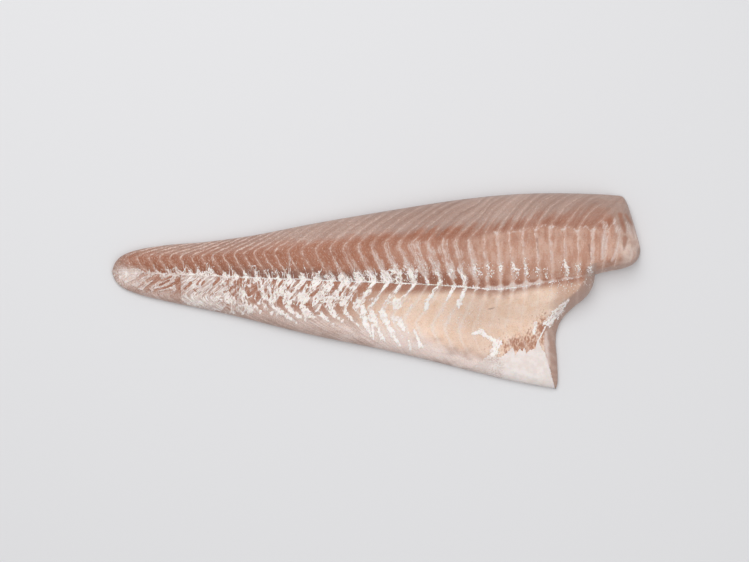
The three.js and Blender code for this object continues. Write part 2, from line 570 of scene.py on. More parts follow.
class Shown(Enum):
    """The fields that the fillet's finish reads, by the names of their attributes."""

    COUNT = "wall_count"
    SPACING = "wall_spacing"
    LINE = "wall_line"
    RED = "red_muscle"
    DEEP = "deep_red"
    CREAM = "cream_belly"
    PALE = "pale_loin"
    # Painted shade on the trimmed cuts' sloping faces.
    CUT = "shaded_cut_face"
    MOTTLE = "mottle"
    SEGMENT = "head_segment"
    # The dark flesh beside the midline, and painted shade in cracks.
    SEAM_DARK_AND_CRACK_SHADE = "seam_dark_and_crack_shade"
    DIM = "dim_band"
    HALO = "wall_halo"
    SHEATH = "sheath"
    # Thin membrane, and painted light along the belly's edge.
    HAZE_AND_EDGE_LIGHT = "belly_haze_and_edge_light"
    LACE = "lace_cover"
    FRINGE = "fringe"
    SCRAP = "scrap"
    THICK = "thick_membrane"
    # White flecks, and painted glints of light in clusters.
    FLECK_AND_GLINT = "fleck_and_glint"
    SILVER = "silver_skin"
    GRAIN = "grain"
    UNDER = "underside"


@dataclass(frozen=True)
class Strip:
    """A scrap, slit or streak along a short line, in millimetres.

    Attributes:
        start: One end of the line.
        end: The other end.
        start_width: Half width at the start.
        end_width: Half width at the end.
    """

    start: Pair
    end: Pair
    start_width: float
    end_width: float

    def level(self, at: Places) -> Field:
        """1 less the distance over the half width: positive inside the strip."""
        along, dx, dy = off_line(at.x, at.y, self.start, self.end)
        return 1.0 - np.hypot(dx, dy) / blend(self.start_width, self.end_width, along)


def strips(*rows: tuple[float, ...]) -> tuple[Strip, ...]:
    """Strips from rows of x and y at the start, x and y at the end, and both half widths."""
    return tuple(Strip(row[:2], row[2:4], *row[4:]) for row in rows)


@dataclass(frozen=True)
class Patch:
    """A soft patch: a bell along the fillet times a bell across it, in millimetres.

    Attributes:
        strength: Its number at its middle.
        x: Its middle along the fillet.
        length: How far it reaches along.
        across: Its middle across.
        width: How far it reaches across.
    """

    strength: float
    x: float
    length: float
    across: float
    width: float

    def level(self, x: Field, across: Field) -> Field:
        """Its number at places along and across."""
        along = bell(x - self.x, self.length)
        return self.strength * along * bell(across - self.across, self.width)


@dataclass(frozen=True)
class Sheath:
    """Pale tissue that widens along each wall on the back side, and a torn line at its bend.

    Attributes:
        half_width: (height above the midline, half width) of the tissue along a wall.
        shift: How far its middle lies past the wall, towards the head.
        wider: (x, how many times as wide).
        thinner: (height above the midline, share) of it that shows.
        strength: (x, share) of it that shows.
        softness: (x, width) over which its edge fades.
        line_from: From which to which x the line along the bends shows.
        straight_from: The x from which the tissue is a narrow line along its wall.
        end_bands: The curved bands on the loin's end, which no wall carries.
        seam_from: From which x on the midline's line is such tissue too.
        bare_patch: Where the tissue is narrower beside the midline.
    """

    half_width: Table = ((0, 1.4), (4, 2.0), (8, 3.3), (14, 3.8), (24, 3.8), (32, 3.4), (42, 1.6))
    shift: float = 0.9
    wider: Table = ((70, 1.0), (90, 0.33), (200, 0.33))
    thinner: Table = ((0, 1.0), (14, 1.0), (22, 0.72), (30, 0.62), (40, 0.5))
    strength: Table = (
        (-60, 0), (-20, 0.5), (8, 0.95), (66, 0.95), (90, 0.85), (160, 0.8), (182, 0.9), (187, 0.0),
    )
    softness: Table = ((-10, 1.2), (72, 1.5), (92, 1.4), (200, 1.5))
    line_from: Pair = (89.0, 176.0)
    straight_from: float = 88.0
    end_bands: tuple[Strip, ...] = strips(
        (180.0, 54.0, 180.6, 40.0, 1.6, 3.0), (180.6, 40.0, 179.0, 26.0, 3.0, 1.6),
        (188.0, 56.0, 192.0, 46.0, 1.4, 2.2), (192.0, 46.0, 191.5, 36.0, 2.2, 2.0),
        (191.5, 36.0, 186.0, 24.0, 2.0, 1.2), (198.0, 54.0, 200.5, 47.0, 1.2, 2.2),
    )
    seam_from: float = 84.0
    bare_patch: Patch = Patch(2.8, 52.0, 18.0, 2.0, 8.0)

    def level(self, at: Places, walls: Walls, bend: Field) -> Field:
        """The tissue's share: 1 well inside its half width, 0 beyond it.

        Args:
            at: The places.
            walls: The places among the walls.
            bend: The height of the walls' bend above the midline.

        Returns:
            The shares, from 0 to 1.
        """
        x, y, above = at.x, at.y, at.above
        ragged = LatticeNoise(5)
        straight = x > self.straight_from
        width = lookup(self.half_width, above) * (0.6 + 0.7 * chance(walls.nearest(), 1))
        strays = blend(2.5, 1.3, straight) * ragged.layers(walls.count * 2.6, above / 6.0, 4)
        width = width * lookup(self.wider, x) + strays
        width -= self.bare_patch.level(x, above)
        soft = lookup(self.softness, x)
        level = smooth_step(-soft, soft, width - np.abs(walls.offset() - self.shift))
        level *= lookup(self.strength, x) * blend(lookup(self.thinner, above), 0.8, straight)
        level *= smooth_step(-0.5, 1.0, above) * fade(bend - 1.0, bend + 4.0, above)
        knot = bell(walls.away(), 2.0)
        stray = 1.9 * ragged.layers(x / 7.0, x / 90.0, 4) + 0.7 * knot
        line = bell(above - bend - 0.8 + stray, 0.85 + 0.35 * knot)
        line *= 0.45 + 0.45 * knot + 0.9 * ragged.level(x / 3.5, y / 30.0)
        start, end = self.line_from
        line *= smooth_step(start - 3.0, start + 3.0, x) * fade(end - 4.0, end, x)
        seam = 1.2 + 0.6 * ragged.layers(x / 6.0, 0.3 + x * 0, 2) + 0.5 * knot
        spread = bell(walls.away(), 2.4) * bell(x - 112.0, 26.0)
        seam = seam * bell(above - 0.6, 1.3 + 3.2 * spread)
        seam *= blend(1.0, 0.45, smooth_step(118.0, 138.0, x))
        seam *= smooth_step(self.seam_from - 8.0, self.seam_from + 8.0, x)
        rough = 0.7 * ragged.layers(x / 5.0, y / 7.0, 3)
        bands = (0.75 * smooth_step(-0.9, 0.7, band.level(at) + rough) for band in self.end_bands)
        return np.clip(largest(level, line, seam, *bands), 0.0, 1.0)


@dataclass(frozen=True)
class Membrane:
    """What the skinning knife left: torn lace, scraps, the seam and a sheet of silver skin.

    Attributes:
        lace_cover: (x, share covered) by the lace on the belly side of the midline.
        upper_cover: (x, share covered) by the lace above the midline.
        upper_height: (x, height) above the midline that this part of it reaches.
        lace_depth: (x, depth) below the midline that the lace reaches.
        lace_height: (x, height) of the hairs above the midline.
        lace_lean: (x, lean) of the net's cells below the midline.
        lace_on_walls: (x, share) by which the lace is thicker on the walls than between them.
        cell: Width and height of a cell of the net.
        strokes: (x, depth) that the white strokes along the walls reach below the midline.
        stroke_width: (x, half width) of those strokes.
        tail_top: (x, height above the midline) of the film over the tail.
        tail_depth: (x, depth below the midline) that it reaches.
        tail_slits: The slits torn in it, with flesh showing.
        lace_slits: The larger holes in the film and the lace near the tail.
        scraps: The single scraps.
        silver_top: (x, y) of the silver skin's torn upper edge.
        silver_end: (y, x) of its straight edge along the cut.
        silver_start: The x at which it begins.
        silver_peaks: (x, y, half width) of the torn peaks on its upper edge.
        hung_patch: Where single hairs hang from the midline instead of lace.
    """

    lace_cover: Table = (
        (-155.0, 0.0), (-154.2, 0.94), (-128, 0.9), (-118, 0.62), (-95, 0.51), (-75, 0.5),
        (-40, 0.57), (-14, 0.36), (0, 0.16), (14, 0.08), (32, 0.0),
    )
    upper_cover: Table = (
        (-90, 0.0), (-60, 0.25), (-20, 0.35), (5, 0.62), (28, 0.66), (35, 0.3), (50, 0.24),
        (68, 0.36), (82, 0),
    )
    upper_height: Table = ((-90, 5), (-60, 7), (-20, 11), (10, 15), (30, 18), (66, 20), (84, 10))
    lace_depth: Table = (
        (-156, 22), (-148, 24), (-124, 30), (-108, 29.5), (-91, 29), (-60, 31),
        (-28, 32), (-9, 35), (14, 42),
    )
    lace_height: Table = (
        (-190, 1), (-182, 6), (-150, 9), (-110, 9), (-60, 11), (-20, 12), (12, 10), (32, 4),
        (58, 3), (75, 2), (90, 0),
    )
    lace_lean: Table = ((-157, 1.0), (-128, 0.6), (-116, 0.05), (-90, 0.05), (-74, 0.55), (40, 0.6))
    lace_on_walls: Table = ((-95, 0.0), (-70, 0.22), (0, 0.3), (60, 0.3))
    cell: Pair = (3.5, 6.0)
    strokes: Table = ((-156, 0), (-150, 5), (-20, 9), (10, 9), (40, 15), (66, 14), (80, 3), (95, 0))
    stroke_width: Table = ((-140, 0.7), (-40, 0.8), (0, 0.9), (60, 1.3), (80, 0.7))
    tail_top: Table = ((-207, -1), (-201, 3), (-190, 3.4), (-184, 1.2), (-157, 0.8))
    tail_depth: Table = ((-206, 3), (-200, 8), (-190, 13), (-175, 14.5), (-157, 14))
    tail_slits: tuple[Strip, ...] = strips(
        (-198.5, 4.6, -193.0, 7.2, 0.8, 1.0), (-192.0, 7.2, -182.0, 14.6, 0.9, 1.5),
        (-188.5, 3.0, -184.5, 6.2, 0.7, 0.9), (-183.0, 1.6, -172.0, 9.8, 1.0, 1.6),
        (-181.4, 8.2, -173.0, 12.2, 1.2, 1.6), (-178.0, -1.5, -174.0, 0.6, 0.7, 0.7),
        (-175.4, 0.4, -167.4, 2.8, 1.0, 0.9), (-171.5, 4.4, -164.0, 8.4, 0.8, 0.7),
        (-170.4, 8.4, -162.3, 11.4, 0.8, 0.8), (-167.4, -0.8, -162.0, 0.6, 1.1, 0.8),
        (-165.4, 3.0, -160.0, 6.0, 0.9, 1.0), (-157.4, 9.6, -155.6, -1.5, 1.9, 3.0),
    )
    lace_slits: tuple[Strip, ...] = strips(
        (-151.5, 1.6, -146.8, 6.4, 1.2, 1.4), (-144.6, 1.2, -142.6, -0.6, 0.8, 0.8),
        (-141.8, 5.2, -139.2, 9.0, 1.1, 1.0), (-138.2, 4.8, -136.2, 7.2, 0.9, 1.1),
        (-128.4, 5.4, -124.4, 9.2, 1.5, 1.4), (-116.6, 8.8, -114.4, 2.6, 1.6, 1.2),
        (-102.4, 2.2, -100.4, -3.0, 1.4, 1.6), (-95.6, 3.4, -93.4, -3.0, 1.3, 1.6),
    )
    scraps: tuple[Strip, ...] = strips(
        (-15.0, -7.5, -9.5, -16.0, 1.3, 2.2), (-10.5, -13.5, -8.0, -27.5, 2.7, 2.5),
        (-3.0, -27.0, -2.0, -38.0, 1.2, 0.9), (-7.5, -27.5, -4.0, -36.0, 1.6, 0.8),
        (-3.0, -16.5, -4.5, -22.0, 1.8, 2.4), (-2.0, -20.0, -0.5, -26.0, 2.6, 1.8),
        (5.0, -17.5, 8.5, -25.5, 3.2, 2.6), (8.5, -25.5, 12.5, -33.0, 2.3, 2.4),
        (12.5, -34.0, 19.0, -43.5, 2.4, 1.0), (1.0, -28.0, 5.5, -39.0, 1.2, 2.0),
        (13.0, -21.5, 18.5, -22.5, 1.4, 2.8), (18.0, -23.0, 22.0, -30.5, 3.0, 1.8),
        (30.0, -31.0, 35.5, -44.0, 1.0, 2.2), (26.0, -40.0, 27.5, -46.0, 1.0, 1.4),
        (70.5, 2.5, 66.0, -9.0, 1.2, 2.2), (66.0, -9.0, 65.0, -12.5, 2.2, 1.6),
        (48.0, 3.0, 40.5, -8.0, 1.0, 2.0), (40.5, -10.0, 39.3, -14.5, 1.7, 1.4),
        (76.5, -34.3, 83.0, -32.0, 1.0, 1.9), (83.0, -32.0, 88.0, -36.5, 2.3, 1.5),
        (88.0, -36.5, 96.5, -40.5, 1.5, 2.4), (96.0, -41.0, 92.5, -52.0, 3.6, 3.2),
        (152.0, -7.0, 146.0, -14.0, 1.0, 3.0), (146.0, -14.0, 136.5, -25.5, 3.3, 3.6),
        (134.5, -28.0, 129.5, -38.0, 0.8, 0.5), (126.5, -25.5, 125.3, -33.5, 1.7, 1.2),
        (107.5, 22.5, 109.5, 17.5, 0.8, 1.2), (109.5, 17.5, 112.0, 16.5, 1.2, 0.5),
        (148.3, 24.5, 149.8, 19.0, 0.9, 1.3), (149.8, 19.0, 153.0, 18.5, 1.2, 0.6),
    )
    silver_top: Table = (
        (58, -66), (70, -63), (76.8, -60.9), (82.7, -55.7), (89, -51), (98.6, -52.4),
        (101.8, -50.3), (105, -47.5), (108.6, -44.6), (110.6, -51.5), (112.2, -48),
        (114.5, -45.4), (116.1, -48), (117.3, -44.2), (119.3, -49.5), (121.7, -47),
        (124.9, -46.4), (127.3, -43), (129.9, -43.2), (131.6, -45.5), (133.6, -49), (143, -52),
    )
    silver_end: Table = (
        (-80, 143.0), (-74, 141.0), (-60, 137.5), (-52, 135.0), (-47, 133.5), (-40, 132.5),
    )
    silver_start: float = 66.0
    silver_peaks: tuple[tuple[float, float, float], ...] = ((128.5, -37.5, 1.6),)
    hung_patch: Patch = Patch(0.8, -110.0, 9.5, -4.0, 7.0)

    def cover(self, at: Places, walls: Walls) -> Field:
        """How much of each place the net of lace covers: 1 is closed, 0 has none.

        Args:
            at: The places.
            walls: The places among the walls.

        Returns:
            The shares covered.
        """
        x, y, above = at.x, at.y, at.above
        clumps = LatticeNoise(11)
        drift = clumps.layers(x / 12.0, y / 15.0, 2)
        stringy = smooth_step(-85.0, -60.0, x)
        luck = chance(walls.nearest(), 6) - 0.5
        drips = 9.0 * bell(walls.away(), 1.4) * (chance(walls.nearest(), 5) - 0.3) * stringy
        closed = lookup(self.lace_cover, x)
        torn = smooth_step(1.0, 0.7, closed)
        teeth = 2.5 * clumps.layers(x / 3.2, y / 30.0, 2) * blend(0.3, 1.0, torn)
        past = -above - lookup(self.lace_depth, x) - teeth
        holes = 0.45 * bell(past + 8.0, 5.0) * walls.between() * smooth_step(-110.0, -90.0, x)
        merged = bell(-above - 15.0, 4.5) * stringy
        waves = np.cos(2.0 * math.pi * walls.count)
        below = closed + 0.2 * drift * torn - holes + 0.22 * merged + 0.25 * luck * stringy
        below += 0.2 * clumps.layers(x / 3.4 + 9.0, y / 5.0, 2) * torn
        below += lookup(self.lace_on_walls, x) * waves * (1.0 - 0.6 * merged)
        below *= fade(-3.0, 1.0, past - drips) * (closed > 0.01)
        below *= 1.0 - self.hung_patch.level(x, above)
        for slit in self.lace_slits:
            below *= fade(-0.2, 0.4, slit.level(at))
        share = above / lookup(self.upper_height, x)
        share += 0.3 * clumps.layers(x / 4.0, y / 9.0, 2)
        window = smooth_step(30.0, 38.0, x) * bell(above - 2.0, 7.0)
        upper = lookup(self.upper_cover, x)
        upper = upper * (1.0 - window * smooth_step(0.8, 2.0, walls.away()))
        upper = (upper + 0.2 * waves + 0.3 * drift) * fade(0.45, 0.9, share) * (upper > 0.01)
        return np.clip(np.where(above > SEAM_TOP, upper, below), 0.0, 1.0)

    def fringe(self, at: Places, walls: Walls) -> Field:
        """The level of the hairs: 1 at the midline, falling to 0 where they end.

        They stand above the midline, as tufts over the film near the tail, and hang below it in
        one place.

        Args:
            at: The places.
            walls: The places among the walls.

        Returns:
            The levels, from -1 to 1.6.
        """
        x, above = at.x, at.above
        clumps = LatticeNoise(12)
        stands = np.clip(0.85 + 0.8 * clumps.layers(x / 4.2, 0.37 + x * 0, 3), 0.2, 1.35)
        height = np.maximum(lookup(self.lace_height, x) * stands, 0.1)
        hanging = 13.0 * bell(x + 110.0, 9.0) + 0.1
        level = 1.0 - np.maximum(above, 0.0) / height
        level -= np.maximum(-above - 0.5, 0.0) / hanging
        on_walls = blend(0.2, 0.45, smooth_step(-95.0, -120.0, x))
        level += on_walls * np.cos(2.0 * math.pi * walls.count)
        tuft = bell(x + 132.0, 18.0) * smooth_step(1.0, 0.3, above / (6.0 * stands))
        level += 0.9 * tuft * (above > 0.0)
        return np.clip(level, -1.0, 1.6)

    def net(self, at: Places) -> Field:
        """The lace's own coordinates, one unit a cell, leaning with the walls.

        The cells are half as large above the midline.

        Args:
            at: The places.

        Returns:
            Coordinates, shape (places, 2).
        """
        ragged = LatticeNoise(13)
        leant = 0.5 * np.maximum(at.above, 0.0)
        leant -= lookup(self.lace_lean, at.x) * np.minimum(at.above, 0.0)
        x = at.x + 0.35 * np.minimum(at.x + 62.0, 0.0) + leant
        x += 1.3 * ragged.layers(at.x / 6.0, at.y / 8.0, 3)
        y = at.above + 1.3 * ragged.layers(at.x / 6.0 + 40.0, at.y / 6.0, 3)
        finer = np.where(at.above > 0.0, 2.0, 1.0)
        return np.stack([x * finer / self.cell[0], y * finer / self.cell[1]], axis=-1)

    def silver(self, at: Places) -> Field:
        """The silver skin's level: how far inside its torn top and its straight edge a place is."""
        top = lookup(self.silver_top, at.x)
        for x, y, half in self.silver_peaks:
            top = np.maximum(top, y - 5.0 * np.abs(at.x - x) / half)
        teeth = 1.2 * LatticeNoise(17).layers(at.x / 1.9, at.y / 12.0, 3)
        below_top = (top + teeth - at.y) / 2.0
        before_cut = (lookup(self.silver_end, at.y) - at.x) / 1.2
        return np.minimum(np.minimum(below_top, before_cut), (at.x - self.silver_start) / 16.0)

    def scrap(self, at: Places, walls: Walls) -> Field:
        """The thick membrane's level: strokes, tail film, seam, scraps and silver skin.

        Args:
            at: The places.
            walls: The places among the walls.

        Returns:
            The levels, from BARE to its opposite: positive where there is membrane.
        """
        x, y, above = at.x, at.y, at.above
        ragged = LatticeNoise(19)
        edge = 0.45 * ragged.layers(x / 2.3, y / 3.0, 3)
        edge += 0.35 * ragged.layers(x / 1.5, y / 5.0, 2)
        luck = chance(walls.nearest(), 2)
        kept = np.where(x > -150.0, smooth_step(0.2, 0.5, luck), 1.0)
        reach = np.maximum(lookup(self.strokes, x) * (0.6 + 0.5 * luck) * kept, 0.1)
        width = lookup(self.stroke_width, x) * (0.6 + 0.8 * chance(walls.nearest(), 3))
        width *= 1.0 - 0.6 * np.square(np.clip(-above / reach, 0.0, 1.0))
        stroke = np.minimum((width - walls.away()) / 0.7, (reach + above) / 2.0) + edge
        stroke = np.where(above < 0.6, stroke, BARE)
        worn = x + 206.0 + 2.0 * ragged.layers(y / 4.0, x / 9.0, 2)
        tail = np.minimum((-155.2 - x) / 0.8, worn / 4.0)
        tail = np.minimum(tail, (lookup(self.tail_top, x) - above) / 1.2)
        tail = np.minimum(tail, (lookup(self.tail_depth, x) + above) / 2.4) + 1.6 * edge
        for slit in self.tail_slits:
            tail = np.minimum(tail, 0.35 * edge - slit.level(at))
        seam = 0.6 - np.abs(above + 0.3 * ragged.level(x / 9.0, 0.5 + x * 0)) / 0.9
        seam += 0.6 * bell(walls.away(), 1.6) * smooth_step(50.0, 80.0, x)
        seam += 0.4 * ragged.layers(x / 4.0, y / 8.0, 2)
        seam -= 1.5 * smooth_step(-182.0, -188.0, x)
        seam -= 0.6 * smooth_step(92.0, 116.0, x) + 0.7 * smooth_step(122.0, 150.0, x)
        scraps = (strip.level(at) + edge for strip in self.scraps)
        return np.clip(largest(stroke, tail, seam, self.silver(at), *scraps), BARE, -BARE)


@dataclass
class Site:
    """Places of the fillet with what their colours share.

    Attributes:
        at: The places.
        walls: The places among the walls.
        past: How far above the walls' bend they are, in millimetres.
        drift: Soft noise by which borders wander.
        flames: Noise drawn out along the walls.
        head: 1 in the loin, where the walls stand straight, and 0 towards the tail.
        flesh: 0 on the loin's cut end, and 1 elsewhere.
    """

    at: Places
    walls: Walls
    past: Field
    drift: Field
    flames: Field
    head: Field
    flesh: Field

    @classmethod
    def seen(cls, at: Places, walls: Walls, bend: Field) -> "Site":
        """Works out what the colours share at places."""
        soft = LatticeNoise(3)
        drift = soft.layers(at.x / 14.0, at.y / 9.0, 3)
        return cls(
            at=at,
            walls=walls,
            past=at.above - bend,
            drift=drift,
            flames=soft.layers(walls.count * 2.2, at.above / 26.0, 3),
            head=smooth_step(50.0, 92.0, at.x),
            flesh=smooth_step(11.0, 23.0, at.to_face + 3.0 * drift),
        )


@dataclass(frozen=True)
class Colouring:
    """Where each colour of the flesh lies, as shares from 0 to 1.

    Attributes:
        red_top: (x, height) above the midline to which the red-brown muscle reaches.
        red_low: (x, depth) below the midline to which it reaches.
        red_low_share: (x, share) of it below the midline.
        deep_height: (x, height) to which it is darker beside the midline.
        deep_patch: A darker patch of the red under the lace.
        halo: (x, strength) of the soft pale bands along the walls on the back side.
        outer_line: (x, share) of the walls' line that shows beyond the bend.
        glint_places: Centres of the clusters of small white dots, painted glints of light.
        fleck_patch: Sparse flecks on the belly.
        upper_flecks: Sparse flecks above the midline.
        shaded_cracks: Thin dark lines: painted shade in cracks and scratches.
        mottles: Red patches above the silver skin. The first one slants.
        haze_patches: Thin streaky membrane under the lace and the film.
        torn_patch: A thin torn strip of membrane beside the silver skin.
        grain: (x, strength) of the fine light and dark grain.
        end_streaks: The red-brown streaks on the loin's end.
    """

    red_top: Table = (
        (-200, 14), (-187, 16), (-140, 18), (-80, 27), (-44, 32), (-5, 37), (32, 41), (67, 46),
        (110, 54), (150, 53), (179, 52),
    )
    red_low: Table = (
        (-200, 13), (-165, 16), (-150, 18), (-110, 26), (-70, 32), (-20, 33), (0, 28), (30, 17),
        (50, 11), (83, 9), (120, 9), (140, 16),
    )
    red_low_share: Table = (
        (-200, 0.45), (-180, 0.9), (-20, 0.9), (10, 0.85), (43, 0.5), (70, 0.4), (122, 0.4),
        (140, 0.75),
    )
    deep_height: Table = (
        (-190, 4), (-150, 7), (-60, 9), (0, 12), (60, 15), (105, 9), (135, 4), (179, 2),
    )
    deep_patch: Patch = Patch(0.45, -92.0, 32.0, -12.0, 13.0)
    halo: Table = (
        (-205, 0.2), (-180, 0.35), (-130, 0.3), (-100, 0.35), (-20, 0.3), (60, 0.35), (110, 0.5),
    )
    outer_line: Table = ((-130, 1.4), (-70, 0.7), (0, 0.55), (60, 0.3))
    fleck_patch: Patch = Patch(0.3, 64.0, 26.0, -20.0, 14.0)
    upper_flecks: Patch = Patch(0.3, 40.0, 40.0, 13.0, 8.0)
    # Painted highlights: clusters of small glints on the wet flesh, drawn as white dots.
    glint_places: Table = (
        (78, 18), (82, 15), (88.5, 18), (91, 15), (98.5, 18), (108, 18), (112, 14), (118, 20),
        (119, 15), (148, 20), (151, 15), (159.5, 18), (169, 17), (127, 15), (134, 13),
    )
    # Painted shade: dark lines in cracks and scratches.
    shaded_cracks: tuple[Strip, ...] = strips(
        (127.0, 41.0, 128.0, 29.0, 0.9, 0.7), (167.8, 37.0, 169.5, 25.0, 0.8, 0.8),
        (200.0, 33.5, 205.0, 29.5, 0.7, 0.5), (89.5, -14.2, 93.5, -13.6, 0.8, 0.5),
    )
    mottles: tuple[Patch, Patch] = (
        Patch(0.66, 120.0, 27.0, -41.0, 11.0), Patch(0.82, 134.0, 8.0, -31.0, 12.0),
    )
    haze_patches: tuple[Patch, ...] = (
        Patch(0.7, -174.0, 22.0, -18.0, 4.5), Patch(0.75, -140.0, 17.0, -24.0, 5.0),
        Patch(0.6, -92.0, 32.0, -28.0, 5.0),
    )
    torn_patch: Strip = Strip((134.5, -33.0), (136.0, -57.0), 1.8, 2.6)
    grain: Table = ((-210, 1.0), (-150, 0.95), (-100, 0.75), (-40, 0.6), (20, 0.3), (210, 0.2))
    end_streaks: tuple[Strip, ...] = strips(
        (184.0, 57.0, 186.5, 44.0, 2.2, 3.0), (186.5, 44.0, 183.5, 24.0, 3.0, 3.2),
        (193.0, 60.0, 196.5, 47.0, 1.8, 2.2), (179.5, 21.0, 184.0, 19.5, 3.0, 2.6),
        (198.0, 60.0, 203.0, 52.0, 1.6, 1.6), (196.8, 42.0, 195.5, 33.0, 2.0, 1.4),
    )

    def fields(self, at: Places, walls: Walls, bend: Field) -> dict[Shown, Field]:
        """Works out the colours' fields.

        Args:
            at: The places.
            walls: The places among the walls.
            bend: The height of the walls' bend above the midline.

        Returns:
            The fields that the finish reads.
        """
        x, above = at.x, at.above
        site = Site.seen(at, walls, bend)
        flesh = site.flesh
        on_tip = flesh * smooth_step(-206.0, -186.0, x + 0.3 * above)
        streaks = largest(
            *(smooth_step(-0.5, 0.8, s.level(at) + 0.6 * site.drift) for s in self.end_streaks)
        )
        lower = blend(0.2, 1.0, fade(40.0, 56.0, at.y))
        # The trimmed cuts' sloping faces, which the finish darkens as painted shade.
        cut_width = np.where(x > NOTCH[0], 3.2, 9.0)
        cut = fade(cut_width - 1.2, cut_width + 1.2, at.to_trim + 0.7 * site.drift)
        segment = np.maximum(site.head, 0.35 * smooth_step(-12.0, 25.0, x)) * (above > 0.0)
        segment *= fade(-2.0, 4.0, site.past)
        deep = self._deep(site) * smooth_step(0.15, 0.6, walls.between())
        dim = largest(smooth_step(-60.0, 40.0, x), fade(-120.0, -80.0, x), 0.35)
        slanted = at.y - 0.2 * (x - 122.0)
        return {
            Shown.RED: np.clip(np.maximum(self._red(site) * on_tip, 0.8 * streaks), 0.0, 1.0),
            Shown.DEEP: np.clip(deep * on_tip, 0.0, 1.0),
            Shown.CREAM: self._cream(site),
            Shown.PALE: (1.0 - flesh) * lower * (1.0 - 0.8 * streaks),
            Shown.CUT: cut,
            Shown.MOTTLE: np.maximum(
                self.mottles[0].level(x, slanted), self.mottles[1].level(x, at.y)
            ),
            Shown.SEGMENT: segment * flesh,
            Shown.SEAM_DARK_AND_CRACK_SHADE: np.clip(self._seam_dark_and_crack_shade(site), 0.0, 1.0),
            Shown.DIM: dim * (1.0 - 0.55 * bell(x - 112.0, 34.0)),
            Shown.HALO: np.clip(self._halo(site, segment) * on_tip, 0.0, 1.0),
            Shown.HAZE_AND_EDGE_LIGHT: self._haze_and_edge_light(site),
            Shown.THICK: self._thick(at),
            Shown.FLECK_AND_GLINT: self._flecks_and_glints(at, walls),
            Shown.GRAIN: lookup(self.grain, x),
            Shown.LINE: self._line(site, cut) * on_tip,
        }

    def _red(self, site: Site) -> Field:
        """The red-brown muscle on both sides of the midline, before the cut end's streaks."""
        x, above, past = site.at.x, site.at.above, site.past
        tongues = blend(1.5, 6.0, smooth_step(0.0, 60.0, x)) * site.flames
        top = lookup(self.red_top, x) + 2.2 * site.drift + tongues
        loin = 0.42 + 0.3 * bell(past - 4.0, 5.5) + 0.3 * bell(np.maximum(above, 0.0), 8.0)
        loin += 0.4 * bell(x - 184.0, 5.0)
        back = fade(top - 4.0, top + 5.0, above) * blend(1.0, loin, site.head)
        low = lookup(self.red_low, x) * (1.0 + 0.3 * site.drift)
        belly = fade(low * 0.55, low * 1.1, -above) * lookup(self.red_low_share, x)
        return np.where(above > 0, back, belly)

    def _deep(self, site: Site) -> Field:
        """The darkest red: beside the midline, as flames about the bends, and near the tail."""
        x, above, past, head = site.at.x, site.at.above, site.past, site.head
        beside = fade(0.5, 1.0, above / lookup(self.deep_height, x))
        under = blend(0.4, 0.55, head) * bell(above + 2.0 + head, 3.2 + 3.0 * head)
        under *= smooth_step(-20.0, 0.0, x) * fade(118.0, 128.0, x)
        under *= blend(1.0, np.clip(0.5 + 1.8 * site.drift, 0.0, 1.1), head)
        licks = np.clip(0.35 + 1.7 * site.flames, 0.0, 1.0) * bell(past - 6.0, 7.5)
        above_bend = bell(past - 4.0, 5.5) * smooth_step(-60.0, 10.0, x)
        tailward = 0.35 * smooth_step(-60.0, -110.0, x) + 0.2 * bell(x + 98.0, 26.0)
        return largest(
            beside * smooth_step(-0.5, 0.8, above),
            under,
            0.42 * bell(above - 5.0, 8.0) * head,
            0.75 * licks * smooth_step(10.0, 60.0, x),
            0.35 * bell(past + 5.0, 4.0) * head,
            tailward * (above > 0.0),
            0.38 * above_bend * (1.0 - 0.5 * head),
            self.deep_patch.level(x, above),
            0.6 * smooth_step(-150.0, -160.0, x) * (above < 0.0),
        )

    def _seam_dark_and_crack_shade(self, site: Site) -> Field:
        """The dark flesh between the hairs above the midline, and painted shade in cracks."""
        at = site.at
        x, above = at.x, at.above
        groove = smooth_step(-145.0, -85.0, x) * fade(-15.0, 80.0, x)
        groove *= smooth_step(-1.0, 0.5, above) * fade(4.0, 11.0, above + 1.5 * site.drift)
        return largest(
            groove, *(0.8 * smooth_step(-0.2, 0.8, mark.level(at)) for mark in self.shaded_cracks)
        )

    def _cream(self, site: Site) -> Field:
        """The belly's cream flesh, which starts closer to the midline towards the head."""
        at, drift = site.at, site.drift
        x, above = at.x, at.above
        headward = smooth_step(25.0, 70.0, x)
        cream = smooth_step(-42.0, 28.0, x + 8.0 * drift - 0.8 * (above + 18.0))
        cream *= smooth_step(4.0, blend(12.0, 10.5, headward), 3.5 * headward - above)
        cream *= smooth_step(6.0, 20.0, at.to_belly + 4.0 * drift)
        cream *= 1.0 - 0.2 * bell(x - 78.0, 23.0)
        return cream * (1.0 - 0.55 * smooth_step(136.0, 152.0, x - 0.2 * above + 5.0 * drift))

    def _haze_and_edge_light(self, site: Site) -> Field:
        """Thin membrane along the belly's edge, with painted light there, over the tail tip and in
        a few patches.
        """
        at, drift = site.at, site.drift
        x, above = at.x, at.above
        headward = smooth_step(20.0, 60.0, x)
        # Painted light: towards the head the band along the belly's edge is stronger, lightening
        # that edge over its real thin membrane.
        edge = blend(0.7, 1.07, smooth_step(-70.0, -30.0, x)) * fade(82.0, 112.0, x)
        edge *= smooth_step(-110.0, -70.0, x)
        width = blend(blend(6.5, 12.0, smooth_step(-20.0, 10.0, x)), 5.5, headward)
        edge *= bell(at.to_belly - blend(9.0, 6.0, headward) - 3.0 * drift, width)
        tip = 0.95 * bell(x + 198.0, 13.0) * smooth_step(-17.0, -9.0, above)
        return largest(
            edge,
            tip * fade(0.0, 8.0, above),
            0.75 * smooth_step(-0.4, 0.8, self.torn_patch.level(at) + 0.4 * drift),
            *(patch.level(x, above + 2.0 * drift) for patch in self.haze_patches),
        )

